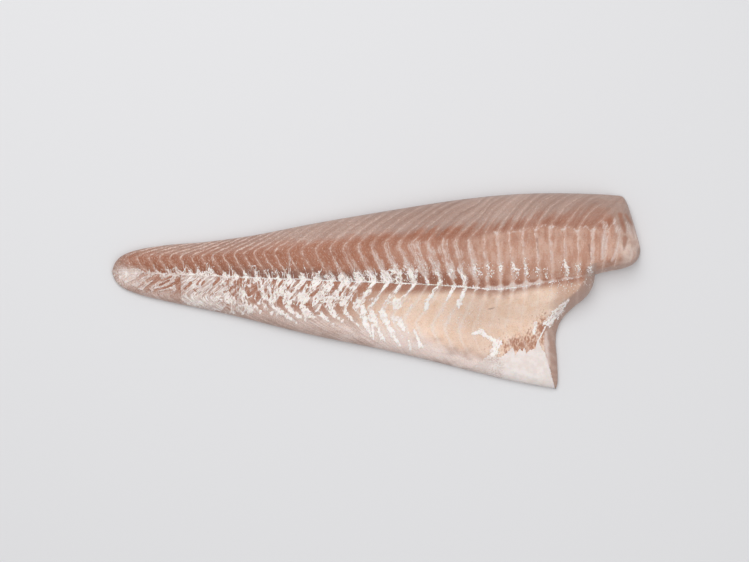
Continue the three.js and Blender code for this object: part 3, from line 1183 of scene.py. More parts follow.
    def _flecks_and_glints(self, at: Places, walls: Walls) -> Field:
        """How thickly small white flecks lie, and painted glints in clusters."""
        x, y, above = at.x, at.y, at.above
        on_walls = 0.28 * bell(walls.away(), 1.8) * bell(above - 10.0, 7.0)
        return largest(
            0.35 * smooth_step(128.0, 140.0, x) * bell(above + 6.0, 7.0),
            self.fleck_patch.level(x, y),
            self.upper_flecks.level(x, above),
            on_walls * bell(x + 75.0, 60.0),
            *(bell(x - spot[0], 2.2) * bell(y - spot[1], 5.0) for spot in self.glint_places),
        )

    def _line(self, site: Site, cut: Field) -> Field:
        """How strongly the thin line on a wall shows."""
        x, above, past = site.at.x, site.at.above, site.past
        belly = blend(0.6, 0.3, smooth_step(-15.0, 15.0, x))
        line = np.where(above > 0, blend(0.85, 1.15, site.head), belly) * blend(1.0, 0.4, cut)
        line *= blend(1.0, lookup(self.outer_line, x), smooth_step(0.0, 5.0, past))
        line *= blend(0.75, 1.0, np.maximum(smooth_step(-150.0, -110.0, x), past > 3.0))
        line *= blend(1.0, 1.3, smooth_step(-60.0, -110.0, x) * (above > 0.0))
        return line * (1.0 - smooth_step(-150.0, -160.0, x) * smooth_step(9.0, 15.0, -above))

    def _halo(self, site: Site, segment: Field) -> Field:
        """How strongly the soft pale band along a wall shows."""
        x, above = site.at.x, site.at.above
        outer = smooth_step(0.0, 5.0, site.past) * smooth_step(-20.0, 60.0, x)
        back = lookup(self.halo, x) * (1.0 - 0.8 * segment) * (1.0 - 0.35 * outer)
        belly = 0.25 + 0.6 * smooth_step(-25.0, 10.0, x) * fade(50.0, 95.0, x)
        return np.where(above > 0.0, back, belly)

    @staticmethod
    def _thick(at: Places) -> Field:
        """How thick and white the membrane is."""
        x, y, above = at.x, at.y, at.above
        thick = 0.15 + 0.3 * smooth_step(-158.0, -154.0, x)
        thick += 0.42 * smooth_step(-130.0, -80.0, x)
        thick = np.maximum(thick, 0.8 * smooth_step(-156.0, -152.0, x) * (above > 0.0))
        thick -= 0.12 * smooth_step(125.0, 140.0, x) * (above > -30.0)
        low = smooth_step(-50.0, -54.0, y) * (x > 60.0)
        return thick - low * fade(94.0, 112.0, x)


# -------- the mesh


def placed(name: str, data: bpy.types.ID) -> bpy.types.Object:
    """Makes an object of a mesh, a light or a camera, and links it to the scene."""
    made = bpy.data.objects.new(name, data)
    bpy.context.scene.collection.objects.link(made)
    return made


@dataclass
class Surface:
    """Points and faces of a closed surface, with the numbers that ride on its points.

    Attributes:
        points: Shape (points, 3), in millimetres.
        faces: Arrays of faces, each of one number of corners.
        layouts: For each array of faces, each point's place on the flat bake layout.
        maps: Other maps by name: each point's place on them.
        fields: Each field's number at each point.
    """

    points: Field
    faces: list[Field]
    layouts: list[Field]
    maps: dict[str, Field]
    fields: dict[Shown, Field]

    def to_object(self, name: str) -> bpy.types.Object:
        """Makes the mesh and its object, in metres, smooth, with its maps and attributes."""
        mesh = bpy.data.meshes.new(name)
        corners = np.concatenate([faces.ravel() for faces in self.faces]).astype(np.int32)
        sizes = np.concatenate([np.full(len(f), f.shape[1]) for f in self.faces]).astype(np.int32)
        mesh.vertices.add(len(self.points))
        mesh.vertices.foreach_set("co", (self.points * MM).astype(np.float32).ravel())
        mesh.loops.add(len(corners))
        mesh.loops.foreach_set("vertex_index", corners)
        mesh.polygons.add(len(sizes))
        starts = np.append(0, np.cumsum(sizes)[:-1]).astype(np.int32)
        mesh.polygons.foreach_set("loop_start", starts)
        mesh.polygons.foreach_set("use_smooth", np.ones(len(sizes), bool))
        mesh.update(calc_edges=True)
        layout = np.concatenate([m[f.ravel()] for f, m in zip(self.faces, self.layouts)])
        mesh.uv_layers.new(name="OFBake").data.foreach_set("uv", layout.astype(np.float32).ravel())
        for map_name, places in self.maps.items():
            uv = mesh.uv_layers.new(name=map_name)
            uv.data.foreach_set("uv", places[corners].astype(np.float32).ravel())
        for shown, numbers in self.fields.items():
            attribute = mesh.attributes.new(shown.value, "FLOAT", "POINT")
            attribute.data.foreach_set("value", numbers.astype(np.float32))
        return placed(name, mesh)


@dataclass
class Fillet:
    """The whole fillet: its outline, body, muscle and membrane, laid on one grid.

    Attributes:
        outline: Its shape from above.
        body: Its thickness.
        muscle: Its segments.
        sheath: The pale tissue along its walls.
        membrane: What the skinning left on it.
        colouring: Where its colours lie.
        stations: Steps from the tail to the head end.
        rows: Steps from the midline to either edge, on the top.
        coarse: How many of the top's rows one row of the underside spans.
        crowding: How much the rows crowd towards the edges.
    """

    outline: Outline = field(default_factory=Outline)
    body: Body = field(default_factory=Body)
    muscle: Muscle = field(default_factory=Muscle)
    sheath: Sheath = field(default_factory=Sheath)
    membrane: Membrane = field(default_factory=Membrane)
    colouring: Colouring = field(default_factory=Colouring)
    stations: int = 540
    rows: int = 72
    coarse: int = 6
    crowding: float = 0.25

    def _grid(self) -> tuple[Field, Field]:
        """The grid's shares along, shape (stations, 1), and across, shape (1, rows)."""
        even = np.linspace(0.0, 1.0, self.stations + 1)[1:, None]
        along = blend(even, 0.5 - 0.5 * np.cos(math.pi * even), 0.2)
        level = np.linspace(-1.0, 1.0, 2 * self.rows + 1)[None, :]
        return along, blend(level, np.sin(0.5 * math.pi * level), self.crowding)

    def _relief(self, at: Places, walls: Walls, fields: dict[Shown, Field]) -> Field:
        """The top's fine relief in millimetres: soft waves, segments and raised membrane.

        A segment rises between its two walls as half a cosine, and a wall sinks in a narrow bell.

        Args:
            at: The places.
            walls: The places among the walls.
            fields: The fields of the finish.

        Returns:
            Heights to add to the body's.
        """
        soft = LatticeNoise(7)
        waves = 0.45 * soft.layers(at.x / 40.0, at.y / 26.0, 2)
        waves += 0.12 * soft.layers(at.x / 9.0, at.y / 7.0, 2)
        wide = smooth_step(2.0, 7.0, walls.spacing)
        shown = fields[Shown.LINE]
        sunken = -0.25 * bell(walls.away(), 1.0) * wide * shown
        puffed = -0.2 * np.cos(2.0 * math.pi * walls.count) * wide * np.square(shown)
        raised = 0.24 * smooth_step(-0.1, 0.4, fields[Shown.SCRAP])
        raised += 0.14 * smooth_step(0.3, 0.7, fields[Shown.LACE]) + 0.1 * fields[Shown.SHEATH]
        grain = 0.07 * soft.layers(walls.count * 6.0, at.above / 5.0, 2)
        return (waves + sunken + puffed + raised + grain) * smooth_step(0.0, 9.0, at.to_rim())

    def _fields(self, at: Places, walls: Walls) -> dict[Shown, Field]:
        """All the fields that the finish reads, at places of the top."""
        bend = lookup(self.muscle.back_bend, at.x)
        silver = smooth_step(-0.1, 0.3, self.membrane.silver(at))
        return self.colouring.fields(at, walls, bend) | {
            Shown.COUNT: walls.count,
            Shown.SPACING: walls.spacing,
            Shown.SHEATH: self.sheath.level(at, walls, bend),
            Shown.LACE: self.membrane.cover(at, walls),
            Shown.FRINGE: self.membrane.fringe(at, walls),
            Shown.SCRAP: self.membrane.scrap(at, walls),
            Shown.SILVER: silver * smooth_step(74.0, 100.0, at.x),
            Shown.UNDER: np.where(at.to_rim() < 0.01, 0.5, 0.0),
        }

    def _bare(self, fields: dict[Shown, Field]) -> dict[Shown, Field]:
        """The same fields for the underside, without what lies on the skinned side."""
        size = fields[Shown.COUNT].shape
        changed = {shown: np.zeros(size) for shown in (Shown.SHEATH, Shown.LACE, Shown.SILVER)}
        bare = {shown: np.full(size, BARE) for shown in (Shown.SCRAP, Shown.FRINGE)}
        return fields | changed | bare | {Shown.UNDER: np.ones(size)}

    def surface(self) -> Surface:
        """Works out the closed surface with all its fields.

        Returns:
            The surface, in millimetres about the middle of its own box.
        """
        along, across = self._grid()
        plan = self.outline.places(along, across)
        stations, rows = plan.shape[:2]
        at = Places.measured(self.outline, *plan.reshape(-1, 2).T)
        walls = self.muscle.walls(at.x, at.above)
        fields = self._fields(at, walls)
        level = np.broadcast_to(across, (stations, rows)).ravel()
        height = self.body.top(at, level) + self._relief(at, walls, fields)
        on_rim = np.zeros((stations, rows), bool)
        on_rim[:, 0] = on_rim[:, -1] = on_rim[-1] = True
        height = np.where(on_rim.ravel(), self.body.rim, np.maximum(height, self.body.rim))
        top = np.column_stack([at.x, at.y, height]).reshape(stations, rows, 3)

        low_plan = plan[:-1, :: self.coarse][:, 1:-1]
        low_at = Places.measured(self.outline, *low_plan.reshape(-1, 2).T)
        low_walls = self.muscle.walls(low_at.x, low_at.above)
        low_height = self.body.underside(low_at) + 0.3 * bell(low_walls.away(), 1.6)
        low = np.column_stack([low_at.x, low_at.y, low_height])
        low_fields = self._bare(self._fields(low_at, low_walls))

        tip = np.array([[*TAIL_TIP, self.body.rim]])
        points = np.vstack([tip, top.reshape(-1, 3), low])
        near_tip = slice(self.rows, self.rows + 1)
        merged = {s: np.concatenate([fields[s][near_tip], fields[s], low_fields[s]]) for s in Shown}
        maps = {}
        for name, upper, lower in (
            ("flow", self._flow(at, walls), self._flow(low_at, low_walls)),
            ("net", self.membrane.net(at), self.membrane.net(low_at)),
        ):
            maps[name] = np.vstack([upper[near_tip], upper, lower])
        upper_layout, lower_layout = self._layouts(points, top)
        layouts = [upper_layout] * 2 + [lower_layout] * 3
        faces = self._faces(stations, rows, low_plan.shape[1])
        return Surface(points, faces, layouts, maps, merged)

    @staticmethod
    def _flow(at: Places, walls: Walls) -> Field:
        """Places along and across the walls: ten times the count, and the height above."""
        return np.stack([10.0 * walls.count, at.above], axis=-1)

    def _faces(self, stations: int, rows: int, low_rows: int) -> list[Field]:
        """The faces: top quads and tail fan, then underside quads, tail fan and head stitches.

        Args:
            stations: Stations of the grid, without the tail tip.
            rows: Rows of the top.
            low_rows: Rows of the underside between the two edges.

        Returns:
            Five arrays of faces, each pointing outwards.
        """
        top = 1 + np.arange(stations * rows).reshape(stations, rows)
        low = np.empty((stations, low_rows + 2), int)
        low[:, 0], low[:, -1] = top[:, 0], top[:, -1]
        low[-1] = top[-1, :: self.coarse]
        inner = np.arange((stations - 1) * low_rows).reshape(stations - 1, -1)
        low[:-1, 1:-1] = 1 + top.size + inner

        def quads(grid: Field) -> Field:
            """Quads of a grid, counter-clockwise from above."""
            corners = [grid[:-1, :-1], grid[1:, :-1], grid[1:, 1:], grid[:-1, 1:]]
            return np.stack(corners, -1).reshape(-1, 4)

        def fan(row: Field) -> Field:
            """Triangles from the tail tip to the first station."""
            return np.column_stack([np.zeros(len(row) - 1, int), row[:-1], row[1:]])

        steps = np.arange(low_rows + 1)
        rim = top[-1][steps[:, None] * self.coarse + np.arange(self.coarse + 1)]
        stitches = np.column_stack([low[-2, :-1], low[-2, 1:], rim[:, ::-1]])
        return [quads(top), fan(top[0]), quads(low[:-1])[:, ::-1], fan(low[0])[:, ::-1], stitches]

    def _layouts(self, points: Field, top: Field) -> tuple[Field, Field]:
        """The bake layouts: the top by distances walked over it, and above it the underside's plan.

        Args:
            points: All points.
            top: The top's points as a grid.

        Returns:
            Each point's place on either layout, from 0 to 1.
        """
        margin = 0.01
        walked = np.zeros(top.shape[:2] + (2,))
        walked[1:, :, 0] = np.cumsum(np.linalg.norm(np.diff(top, axis=0), axis=2), axis=0)
        walked[:, 1:, 1] = np.cumsum(np.linalg.norm(np.diff(top, axis=1), axis=2), axis=1)
        walked[..., 1] -= walked[:, self.rows : self.rows + 1, 1]
        upper = np.zeros((len(points), 2))
        upper[1 : 1 + walked[..., 0].size] = walked.reshape(-1, 2)
        lower = points[:, :2].copy()
        scale = (1.0 - 2.0 * margin) / max(np.ptp(upper[:, 0]), np.ptp(lower[:, 0]))
        upper = (upper - upper.min(0)) * scale + margin
        lower = (lower - lower.min(0)) * scale + margin
        lower[:, 1] += upper[:, 1].max()
        return upper, lower

    def build(self) -> bpy.types.Object:
        """Makes the fillet's object, fitted to the box of the node that it stands for."""
        surface = self.surface()
        low, high = (np.array(corner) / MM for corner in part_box(NODE))
        own_low, own_high = surface.points.min(0), surface.points.max(0)
        surface.points = low + (surface.points - own_low) * (high - low) / (own_high - own_low)
        return surface.to_object("fillet_flesh")


# -------- finishes


def shade(red: int, green: int, blue: int) -> Colour:
    """A colour as a screen shows it, from 0 to 255, as the light that a shader needs."""
    screen = np.array([red, green, blue]) / 255.0
    light = np.where(screen <= 0.04045, screen / 12.92, ((screen + 0.055) / 1.055) ** 2.4)
    return tuple(float(part) for part in light)


class NodeBoard:
    """One material's nodes, with a short method for each kind that is used."""

    def __init__(self, name: str) -> None:
        """Starts an empty material of that name with a shader and an output."""
        self.material = bpy.data.materials.new(name)
        self.material.use_nodes = True
        self.tree = self.material.node_tree
        self.tree.nodes.clear()
        self.shader = self.node("BsdfPrincipled")
        output = self.node("OutputMaterial")
        self.tree.links.new(self.shader.outputs[0], output.inputs["Surface"])

    def node(self, kind: str) -> bpy.types.Node:
        """A new shader node of a kind, named as Blender does after ShaderNode."""
        return self.tree.nodes.new("ShaderNode" + kind)

    def feed(self, socket: Socket, value: object) -> None:
        """Links a socket to a field or another socket, or sets it to a number or colour."""
        if isinstance(value, Shown):
            value = self.attribute(value)
        if isinstance(value, Socket):
            self.tree.links.new(value, socket)
        elif isinstance(value, tuple) and socket.type == "RGBA":
            socket.default_value = (*value, 1.0)
        else:
            socket.default_value = value

    def attribute(self, shown: Shown) -> Socket:
        """Reads one of the piece's own fields."""
        node = self.node("Attribute")
        node.attribute_name = shown.value
        return node.outputs["Fac"]

    def place(self, source: str, stretch: Pair) -> Socket:
        """Coordinates times stretch along and across.

        Args:
            source: A map of the piece, or "object" for metres.
            stretch: The factors along and across. Upwards it is as along.

        Returns:
            The coordinates.
        """
        if source == "object":
            start = self.node("TexCoord").outputs["Object"]
        else:
            uv = self.node("UVMap")
            uv.uv_map = source
            start = uv.outputs["UV"]
        mapping = self.node("Mapping")
        self.tree.links.new(start, mapping.inputs["Vector"])
        mapping.inputs["Scale"].default_value = (*stretch, stretch[0])
        return mapping.outputs["Vector"]

    def noise(
        self, source: str, stretch: Pair, detail: float = 2.0, twist: float = 0.0
    ) -> Socket:
        """Soft noise from 0 to 1, with bumps about one unit of the stretched coordinates wide."""
        node = self.node("TexNoise")
        self.tree.links.new(self.place(source, stretch), node.inputs["Vector"])
        for name, number in (("Scale", 1.0), ("Detail", detail), ("Distortion", twist)):
            node.inputs[name].default_value = number
        return node.outputs["Fac"]

    def cells(self, source: str, stretch: Pair) -> tuple[Socket, Socket]:
        """Random cells: the distance to the nearest centre, and each cell's own chance."""
        node = self.node("TexVoronoi")
        node.voronoi_dimensions = "2D"
        self.tree.links.new(self.place(source, stretch), node.inputs["Vector"])
        node.inputs["Scale"].default_value = 1.0
        split = self.node("SeparateColor")
        self.tree.links.new(node.outputs["Color"], split.inputs["Color"])
        return node.outputs["Distance"], split.outputs["Red"]

    def math(self, operation: str, a: object, b: object = 0.0, c: object = 0.0) -> Socket:
        """A Math node."""
        node = self.node("Math")
        node.operation = operation
        for socket, value in zip(node.inputs, (a, b, c)):
            self.feed(socket, value)
        return node.outputs[0]

    def times(self, *values: object) -> Socket:
        """The product of all the values."""
        return functools.reduce(lambda a, b: self.math("MULTIPLY", a, b), values)

    def most(self, *values: object) -> Socket:
        """The largest of all the values."""
        return functools.reduce(lambda a, b: self.math("MAXIMUM", a, b), values)

    def less(self, a: object, b: object) -> Socket:
        """a less b."""
        return self.math("SUBTRACT", a, b)

    def plus(self, value: object, extra: object, factor: float = 1.0) -> Socket:
        """value plus factor times extra."""
        return self.math("MULTIPLY_ADD", extra, factor, value)

    def sway(self, value: object, noise: object, factor: float) -> Socket:
        """value plus factor times how far a noise is from its middle."""
        return self.plus(value, self.less(noise, 0.5), factor)

    def crease(self, noise: object) -> Socket:
        """How far a noise is from its middle: 0 along winding lines."""
        return self.math("ABSOLUTE", self.less(noise, 0.5))

    def ramp(
        self, value: object, low: object, high: object, to_low: object = 0.0, to_high: object = 1.0
    ) -> Socket:
        """A smooth step from to_low at low to to_high at high."""
        node = self.node("MapRange")
        node.interpolation_type = "SMOOTHSTEP"
        names = ("Value", "From Min", "From Max", "To Min", "To Max")
        for name, number in zip(names, (value, low, high, to_low, to_high)):
            self.feed(node.inputs[name], number)
        return node.outputs["Result"]

    def mix(self, share: object, a: object, b: object) -> Socket:
        """Colour a at share 0 and colour b at share 1."""
        node = self.node("Mix")
        node.data_type = "RGBA"
        colours = [s for s in node.inputs if s.type == "RGBA"]
        self.feed(node.inputs["Factor"], share)
        self.feed(colours[0], a)
        self.feed(colours[1], b)
        return next(s for s in node.outputs if s.type == "RGBA")

    def bump(self, height: object, distance: float) -> None:
        """Puts a bump of that height, times distance in metres, on the shader."""
        node = self.node("Bump")
        node.inputs["Distance"].default_value = distance
        self.feed(node.inputs["Height"], height)
        self.tree.links.new(node.outputs["Normal"], self.shader.inputs["Normal"])


@dataclass(frozen=True)
class FleshFinish:
    """Moist raw cod: pink-grey, red-brown and cream flesh under pale walls and white membrane.

    Attributes:
        band: The pink-grey flesh along the edges, in its darker and lighter streaks.
        band_dim: The same towards the head and at the tail.
        red: The red-brown muscle beside the midline, plain and in its lighter specks.
        deep: Its darkest parts.
        groove: The dark flesh just above the midline, between the fringe's hairs, also painted
            shade in cracks.
        segment: The loin's muscle segments above the midline, plain and lighter.
        cream: The belly's cream flesh, plain and lighter.
        belly_wall: The walls and soft bands in it.
        pale: The loin's pale cut face, plain and lighter.
        cut: The trimmed cuts' sloping faces, darkened as painted shade.
        halo: The soft bands along the walls.
        wall: The lines between muscle segments.
        sheath: The tissue that widens along them.
        haze: Thin membrane over the belly's edge, where it is also painted light.
        membrane: Torn membrane, thin and thick.
        silver: The sheet of silver skin, dull and bright.
        under: The boned side.
    """

    band: tuple[Colour, Colour] = (shade(170, 142, 130), shade(198, 172, 161))
    band_dim: tuple[Colour, Colour] = (shade(152, 122, 110), shade(178, 149, 137))
    red: tuple[Colour, Colour] = (shade(170, 112, 86), shade(194, 145, 123))
    deep: Colour = shade(148, 93, 70)
    groove: Colour = shade(134, 95, 82)
    segment: tuple[Colour, Colour] = (shade(190, 143, 122), shade(208, 170, 152))
    cream: tuple[Colour, Colour] = (shade(239, 205, 179), shade(247, 220, 201))
    belly_wall: Colour = shade(244, 231, 222)
    pale: tuple[Colour, Colour] = (shade(209, 174, 158), shade(233, 209, 196))
    # Painted shade: the sloping cut faces are darker than the flesh beside them.
    cut: Colour = shade(180, 149, 136)
    halo: Colour = shade(206, 178, 166)
    wall: Colour = shade(224, 198, 186)
    sheath: Colour = shade(218, 193, 182)
    # Thin membrane's colour, also painted light where it lightens the belly's edge.
    haze: Colour = shade(236, 219, 212)
    membrane: tuple[Colour, Colour] = (shade(222, 205, 198), shade(253, 247, 243))
    silver: tuple[Colour, Colour] = (shade(232, 221, 216), shade(240, 231, 228))
    under: tuple[Colour, Colour] = (shade(214, 184, 168), shade(228, 206, 192))

    def material(self) -> bpy.types.Material:
        """Builds the material from the piece's fields and maps."""
        board = NodeBoard("cod_flesh")
        fibre = board.noise("flow", (0.55, 0.16), 3.0, 0.4)
        mote = board.noise("object", (800.0, 800.0), 3.0)
        colour = self._flesh(board, fibre, mote)
        colour = self._walls(board, colour, mote)
        colour = self._veils(board, colour, mote)
        colour = self._grain(board, colour)
        cover, colour = self._membranes(board, colour, mote)
        under = board.mix(board.ramp(fibre, 0.3, 0.75), *self.under)
        colour = board.mix(board.ramp(Shown.UNDER, 0.4, 0.95), colour, under)
        relief = board.plus(board.times(fibre, 0.5), mote, 0.35)
        board.bump(board.plus(relief, cover, 0.8), 0.00025)
        for name, value in (
            ("Base Color", colour),
            ("Roughness", board.ramp(mote, 0.3, 0.7, 0.36, 0.52)),
            ("Subsurface Weight", 0.15),
            ("Subsurface Radius", (1.0, 0.45, 0.25)),
            ("Subsurface Scale", 0.0015),
            ("IOR", 1.38),
        ):
            board.feed(board.shader.inputs[name], value)
        return board.material

    def _flesh(self, board: NodeBoard, fibre: Socket, mote: Socket) -> Socket:
        """The flesh under walls and membrane: edge band, red muscle, belly, loin end, and cuts
        darkened as painted shade.

        Args:
            board: The material's nodes.
            fibre: Noise drawn out along the walls.
            mote: Fine even noise.

        Returns:
            The flesh's colour.
        """
        streak = board.noise("flow", (0.2, 0.02))
        blotch = board.noise("object", (120.0, 120.0), 4.0, 0.5)
        streaky = board.ramp(board.plus(streak, mote, 0.35), 0.4, 0.95)
        band = board.mix(streaky, *self.band)
        band = board.mix(Shown.DIM, band, board.mix(streaky, *self.band_dim))
        red = board.mix(board.ramp(board.plus(fibre, mote, 0.6), 0.78, 1.15, 0.0, 0.6), *self.red)
        red = board.mix(board.ramp(blotch, 0.4, 0.75, 0.0, 0.5), red, self.deep)
        uneven = board.ramp(board.plus(fibre, blotch), 0.6, 1.2, 0.75, 1.1)
        colour = board.mix(board.times(Shown.RED, uneven), band, red)
        cloudy = board.plus(board.plus(blotch, mote, 0.2), fibre, 0.35)
        cream = board.mix(board.ramp(cloudy, 0.5, 0.95), *self.cream)
        colour = board.mix(Shown.CREAM, colour, cream)
        calm = board.plus(board.noise("object", (230.0, 80.0), 3.0), mote, 0.35)
        segment = board.mix(board.ramp(calm, 0.55, 0.8), *self.segment)
        colour = board.mix(Shown.SEGMENT, colour, segment)
        deep = board.times(Shown.DEEP, board.ramp(mote, 0.2, 0.7, 1.0, 0.7))
        colour = board.mix(deep, colour, self.deep)
        # The dark seam flesh, and painted shade in cracks.
        colour = board.mix(board.times(Shown.SEAM_DARK_AND_CRACK_SHADE, 0.85), colour, self.groove)
        speckle = board.math("MULTIPLY_ADD", board.noise("object", (700.0, 380.0), 4.0), 1.7, -0.45)
        mottled = board.ramp(board.plus(speckle, Shown.MOTTLE), 0.58, 1.16, 0.0, 0.9)
        colour = board.mix(mottled, colour, red)
        pale = board.mix(board.ramp(blotch, 0.35, 0.65), *self.pale)
        colour = board.mix(Shown.PALE, colour, pale)
        # Painted shade: the trimmed cuts' sloping faces take the darker cut colour.
        return board.mix(Shown.CUT, colour, self.cut)

    def _walls(self, board: NodeBoard, colour: Socket, mote: Socket) -> Socket:
        """The walls: a thin broken line where their count is whole, and a soft band beside it.

        Args:
            board: The material's nodes.
            colour: The flesh's colour.
            mote: Fine even noise.

        Returns:
            The colour with the walls.
        """
        brush = board.noise("object", (520.0, 520.0), 4.0)
        stray = board.noise("object", (300.0, 300.0), 3.0)
        spell = board.noise("flow", (0.12, 0.32), 3.0)
        smear = board.noise("flow", (0.35, 0.07), 3.0)
        count = board.math("ADD", board.sway(Shown.COUNT, stray, 0.22), 0.5)
        distance = board.times(board.crease(board.math("FRACT", count)), Shown.SPACING)
        halo = board.plus(board.math("ADD", distance, 1.5), smear, -3.0)
        halo = board.ramp(halo, 0.0, 2.6, 0.75, 0.0)
        halo = board.times(halo, Shown.HALO, board.ramp(mote, 0.25, 0.6, 0.75, 1.0))
        colour = board.mix(halo, colour, board.mix(Shown.CREAM, self.halo, self.belly_wall))
        distance = board.plus(board.math("ADD", distance, 1.0), brush, -2.0)
        line = board.times(board.ramp(distance, -0.1, 0.75, 1.0, 0.0), Shown.LINE)
        line = board.times(line, board.ramp(spell, 0.38, 0.6, 0.15, 1.25))
        line = board.times(line, board.ramp(mote, 0.25, 0.6, 0.5, 1.0))
        return board.mix(line, colour, board.mix(Shown.CREAM, self.wall, self.belly_wall))

    def _veils(self, board: NodeBoard, colour: Socket, mote: Socket) -> Socket:
        """The tissue along the walls and the haze over the belly's edge, partly painted light.

        Args:
            board: The material's nodes.
            colour: The flesh's colour with its walls.
            mote: Fine even noise.

        Returns:
            The colour with both.
        """
        strand = board.plus(board.noise("flow", (1.3, 0.12), 3.0), mote, 0.6)
        dullest = board.ramp(Shown.SEGMENT, 0.5, 0.9, 0.2, 0.7)
        strand = board.ramp(strand, 0.6, 0.98, dullest, 1.1)
        flame = board.noise("object", (360.0, 210.0), 4.0)
        wisp = board.noise("flow", (0.5, 0.05), 5.0, 0.6)
        uneven = board.sway(board.less(flame, 0.5), wisp, 1.5)
        uneven = board.times(uneven, board.ramp(Shown.SEGMENT, 0.5, 0.9, 1.0, 0.45))
        level = board.plus(Shown.SHEATH, uneven, 0.8)
        sheath = board.times(
            board.ramp(level, 0.1, 1.0), strand, board.ramp(Shown.SHEATH, 0.0, 0.2)
        )
        bright = board.mix(board.ramp(level, 0.4, 0.9), self.sheath, self.membrane[0])
        colour = board.mix(sheath, colour, bright)
        streak = board.plus(board.noise("flow", (0.5, 0.09), 3.0, 0.3), mote, 0.4)
        even = board.ramp(Shown.GRAIN, 0.25, 0.45, 0.85, 0.4)
        # The haze: thin membrane, and along the belly's edge painted light.
        haze = board.times(Shown.HAZE_AND_EDGE_LIGHT, board.ramp(streak, 0.5, 0.85, even, 1.05))
        return board.mix(haze, colour, self.haze)

    def _grain(self, board: NodeBoard, colour: Socket) -> Socket:
        """Light streaks along the walls and fine dark grain, mostly in the tail half."""
        streak = board.ramp(board.noise("flow", (1.7, 0.45)), 0.54, 0.68, 0.0, 0.8)
        grain = board.ramp(board.noise("object", (1250.0, 1250.0)), 0.32, 0.56, 0.6, 0.0)
        colour = board.mix(board.times(streak, Shown.GRAIN), colour, self.wall)
        return board.mix(board.times(grain, Shown.GRAIN), colour, self.deep)

    def _membranes(
        self, board: NodeBoard, colour: Socket, mote: Socket
    ) -> tuple[Socket, Socket]:
        """Flecks and painted glints, lace, hairs, scraps and silver skin over the flesh.

        Args:
            board: The material's nodes.
            colour: The flesh's colour.
            mote: Fine even noise.

        Returns:
            How surely membrane covers each place, and the colour with it.
        """
        fine = board.noise("object", (1500.0, 1500.0), 1.0)
        pin_centre, pin_chance = board.cells("net", (2.7, 2.7))
        closed = board.ramp(Shown.LACE, 0.75, 0.9, 1.0, 0.35)
        pin = board.ramp(pin_chance, 0.5, 0.9, 0.0, board.times(closed, 0.5))
        pinned = board.ramp(board.less(pin_centre, pin), -0.1, 0.02, 0.1, 1.0)
        lace = self._lace(board, mote, fine, pinned)
        hairs = self._hairs(board, mote, fine)
        # White dots: flecks, and in their clusters painted glints of light.
        centre, dot_chance = board.cells("object", (1000.0, 650.0))
        size = board.less(Shown.FLECK_AND_GLINT, dot_chance)
        fleck_and_glint_dots = board.plus(board.sway(centre, mote, 1.0), size, -0.9)
        fleck_and_glint_dots = board.ramp(fleck_and_glint_dots, 0.0, 0.2, 0.95, 0.0)
        fleck_and_glint_dots = board.times(fleck_and_glint_dots, board.math("GREATER_THAN", size, 0.0))
        thin = board.ramp(Shown.THICK, 0.0, 0.4, 1.0, 0.0)
        speckled = board.ramp(board.plus(mote, fine, 0.6), 0.66, 0.86, 0.6, 0.0)
        scrap = board.ramp(board.sway(Shown.SCRAP, mote, 1.3), -0.05, 0.2)
        scrap = board.times(scrap, board.less(1.0, board.times(thin, speckled)))
        whole = board.ramp(board.most(Shown.SILVER, pinned), 0.0, 1.0, 0.35, 1.0)
        scrap = board.times(scrap, whole)
        cover = board.most(lace, hairs, scrap, fleck_and_glint_dots)
        patch = board.noise("object", (260.0, 260.0), 4.0)
        thick = board.plus(board.plus(patch, mote, 0.5), Shown.THICK, 0.45)
        white = board.mix(board.ramp(thick, 0.75, 1.2), *self.membrane)
        silver = board.mix(board.ramp(patch, 0.35, 0.65), *self.silver)
        white = board.mix(Shown.SILVER, white, silver)
        return cover, board.mix(board.times(cover, 0.96), colour, white)

    def _lace(self, board: NodeBoard, mote: Socket, fine: Socket, pinned: Socket) -> Socket:
        """The torn lace: a net with holes, slits and pinholes, thin film and single threads.

        A cell of the net is torn open where the number it draws by chance is more than the share
        covered, as a round hole about its centre.

        Args:
            board: The material's nodes.
            mote: Fine even noise.
            fine: Still finer noise.
            pinned: 0 in a pinhole and 1 beside it.

        Returns:
            How surely lace covers each place.
        """
        hole_centre, hole_chance = board.cells("net", (1.0, 1.0))
        torn = board.ramp(board.less(hole_chance, Shown.LACE), -0.06, 0.16)
        widest = board.math("MULTIPLY_ADD", board.less(1.0, Shown.LACE), 0.75, 0.18)
        inside = board.less(hole_centre, board.times(torn, widest))
        inside = board.sway(board.sway(inside, mote, 0.28), fine, 0.12)
        cover = board.times(board.ramp(inside, -0.03, 0.05), board.ramp(Shown.LACE, 0.06, 0.36))
        crack = board.crease(board.noise("flow", (0.5, 0.08), 2.0, 0.3))
        kept = board.ramp(Shown.THICK, 0.3, 0.8, 0.0, 0.75)
        slit = board.ramp(Shown.LACE, 0.75, 0.9, 0.05, 0.068)
        cover = board.times(cover, board.ramp(crack, 0.012, slit, kept, 1.0), pinned)
        film = board.ramp(board.noise("flow", (0.25, 0.22), 4.0), 0.46, 0.6, 0.0, 0.42)
        film = board.times(film, board.ramp(Shown.LACE, 0.2, 0.45))
        thread = board.crease(board.noise("net", (0.9, 0.25), 1.0, 0.4))
        thread = board.ramp(thread, 0.004, 0.018, 0.85, 0.0)
        return board.most(cover, film, board.times(thread, board.ramp(Shown.LACE, 0.12, 0.35)))

